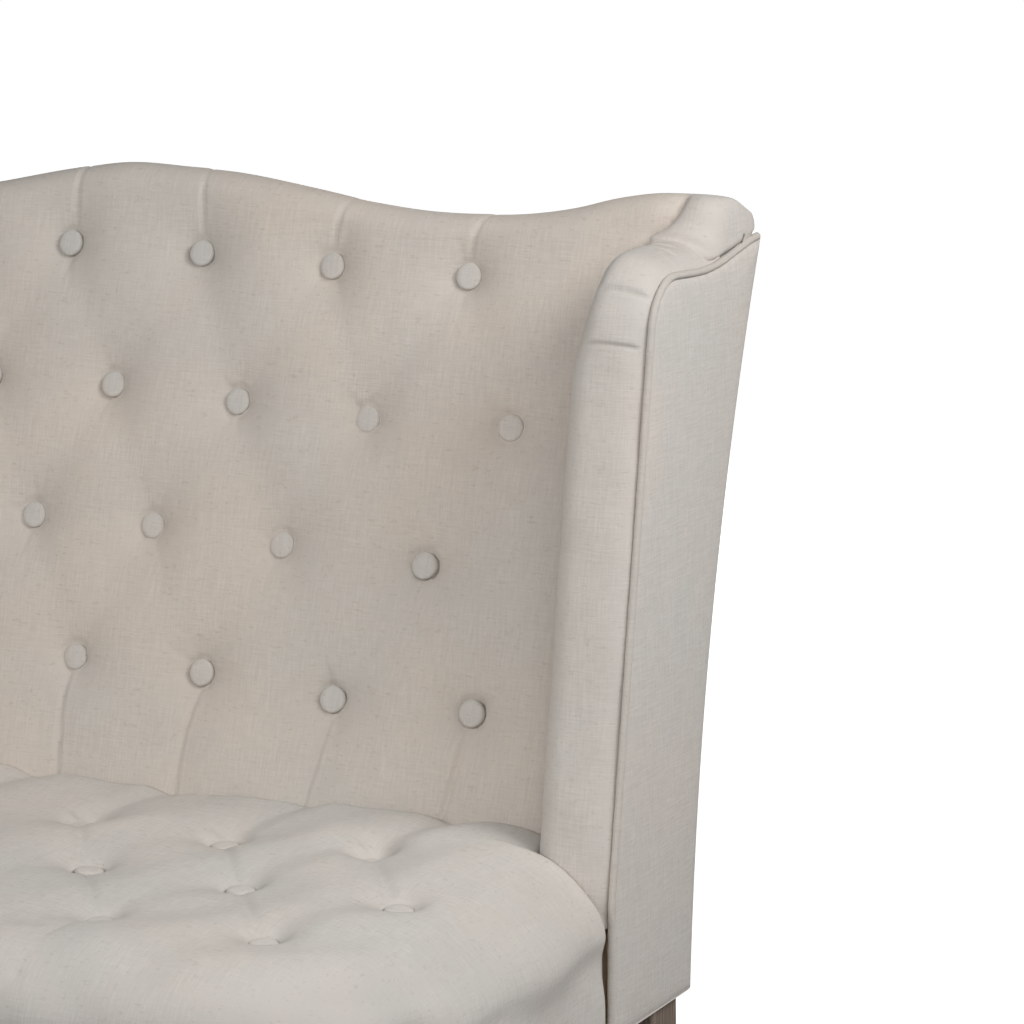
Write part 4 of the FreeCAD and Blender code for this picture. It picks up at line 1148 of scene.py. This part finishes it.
white = (1.0, 1.0, 1.0)
studio = {
    "floorColour": (0.25, 0.25, 0.25),
    "floorGlow": 0.96,  # seen by the camera only
    "sky": 0.11,
    # each lamp: its place, what it aims at, its size and its power
    "lamps": {
        "left": ((-0.8, -2.8, 1.9), (0.3, 0.0, 0.7), 1.4, 54),
        "right": ((3.4, -0.8, 2.6), (0.5, 0.0, 0.7), 1.5, 31),
        "side": ((2.2, 0.1, 1.9), (0.8, 0.1, 0.7), 0.9, 20),
        "near": ((1.5, -0.9, 1.5), (0.75, 0.1, 0.8), 0.6, 6.2),
        "behind": ((-1.2, 3.4, 1.1), (0.0, 0.3, 0.6), 1.5, 40),
    },
    "cameraPlace": (2.1780, -2.7661, 1.4592),
    "cameraDown": 12.4693,
    "cameraTurn": 27.5,
    "focalPixels": 4286.86,
    "photoWidth": 1024,
}


def addFloor():
    mesh = bpy.data.meshes.new("floor")
    mesh.from_pydata([(-9, -9, 0), (9, -9, 0), (9, 9, 0), (-9, 9, 0)], [], [(0, 1, 2, 3)])
    floor = addObject("floor", mesh)
    material, tree, shader = nodeMaterial("pale_floor")
    feed(tree, shader, {"Base Color": studio["floorColour"], "Roughness": 0.9})
    toCamera = tree.nodes.new("ShaderNodeLightPath").outputs["Is Camera Ray"]
    strength = math2(tree, "MULTIPLY", toCamera, studio["floorGlow"])
    glow = addNode(tree, "ShaderNodeEmission", {"Color": white, "Strength": strength})
    both = addNode(tree, "ShaderNodeAddShader", {0: shader.outputs[0], 1: glow.outputs[0]})
    feed(tree, tree.nodes["Material Output"], {0: both.outputs[0]})
    mesh.materials.append(material)


def addSky():
    # weak light from above; the camera and reflections see white
    world = bpy.data.worlds.new("studio")
    bpy.context.scene.world = world
    world.use_nodes = True
    tree = world.node_tree
    tree.nodes.clear()
    coords = tree.nodes.new("ShaderNodeTexCoord").outputs["Generated"]
    way = addNode(tree, "ShaderNodeSeparateXYZ", {0: coords})
    above = math2(tree, "MAXIMUM", way.outputs[2], 0.0)
    strength = math2(tree, "MULTIPLY", above, studio["sky"])
    soft = addNode(tree, "ShaderNodeBackground", {"Color": white, "Strength": strength})
    plain = addNode(tree, "ShaderNodeBackground", {"Color": white, "Strength": 1.0})
    rays = tree.nodes.new("ShaderNodeLightPath").outputs
    seen = math2(tree, "MAXIMUM", rays["Is Camera Ray"], rays["Is Glossy Ray"])
    seen = math2(tree, "MAXIMUM", seen, rays["Is Transmission Ray"])
    mix = addNode(tree, "ShaderNodeMixShader", {0: seen, 1: soft.outputs[0], 2: plain.outputs[0]})
    addNode(tree, "ShaderNodeOutputWorld", {0: mix.outputs[0]})


def addLamps():
    for name, (place, aim, size, power) in studio["lamps"].items():
        source = bpy.data.lights.new(name, "AREA")
        source.size = size
        source.energy = power
        lamp = addObject(name, source)
        lamp.location = place
        run = unit(np.array(aim) - np.array(place))
        lamp.rotation_euler = (math.acos(-run[2]), 0, math.atan2(run[0], -run[1]) + math.pi)


def addCamera():
    data = bpy.data.cameras.new("camera")
    data.sensor_width = 36
    data.lens = studio["focalPixels"] * data.sensor_width / studio["photoWidth"]
    camera = addObject("camera", data)
    camera.location = studio["cameraPlace"]
    down, turn = math.radians(90 - studio["cameraDown"]), math.radians(studio["cameraTurn"])
    camera.rotation_euler = (down, 0, turn)
    bpy.context.scene.camera = camera
    bpy.context.scene.view_settings.view_transform = "Standard"


addFloor()
addSky()
addLamps()
addCamera()
print("stage done")
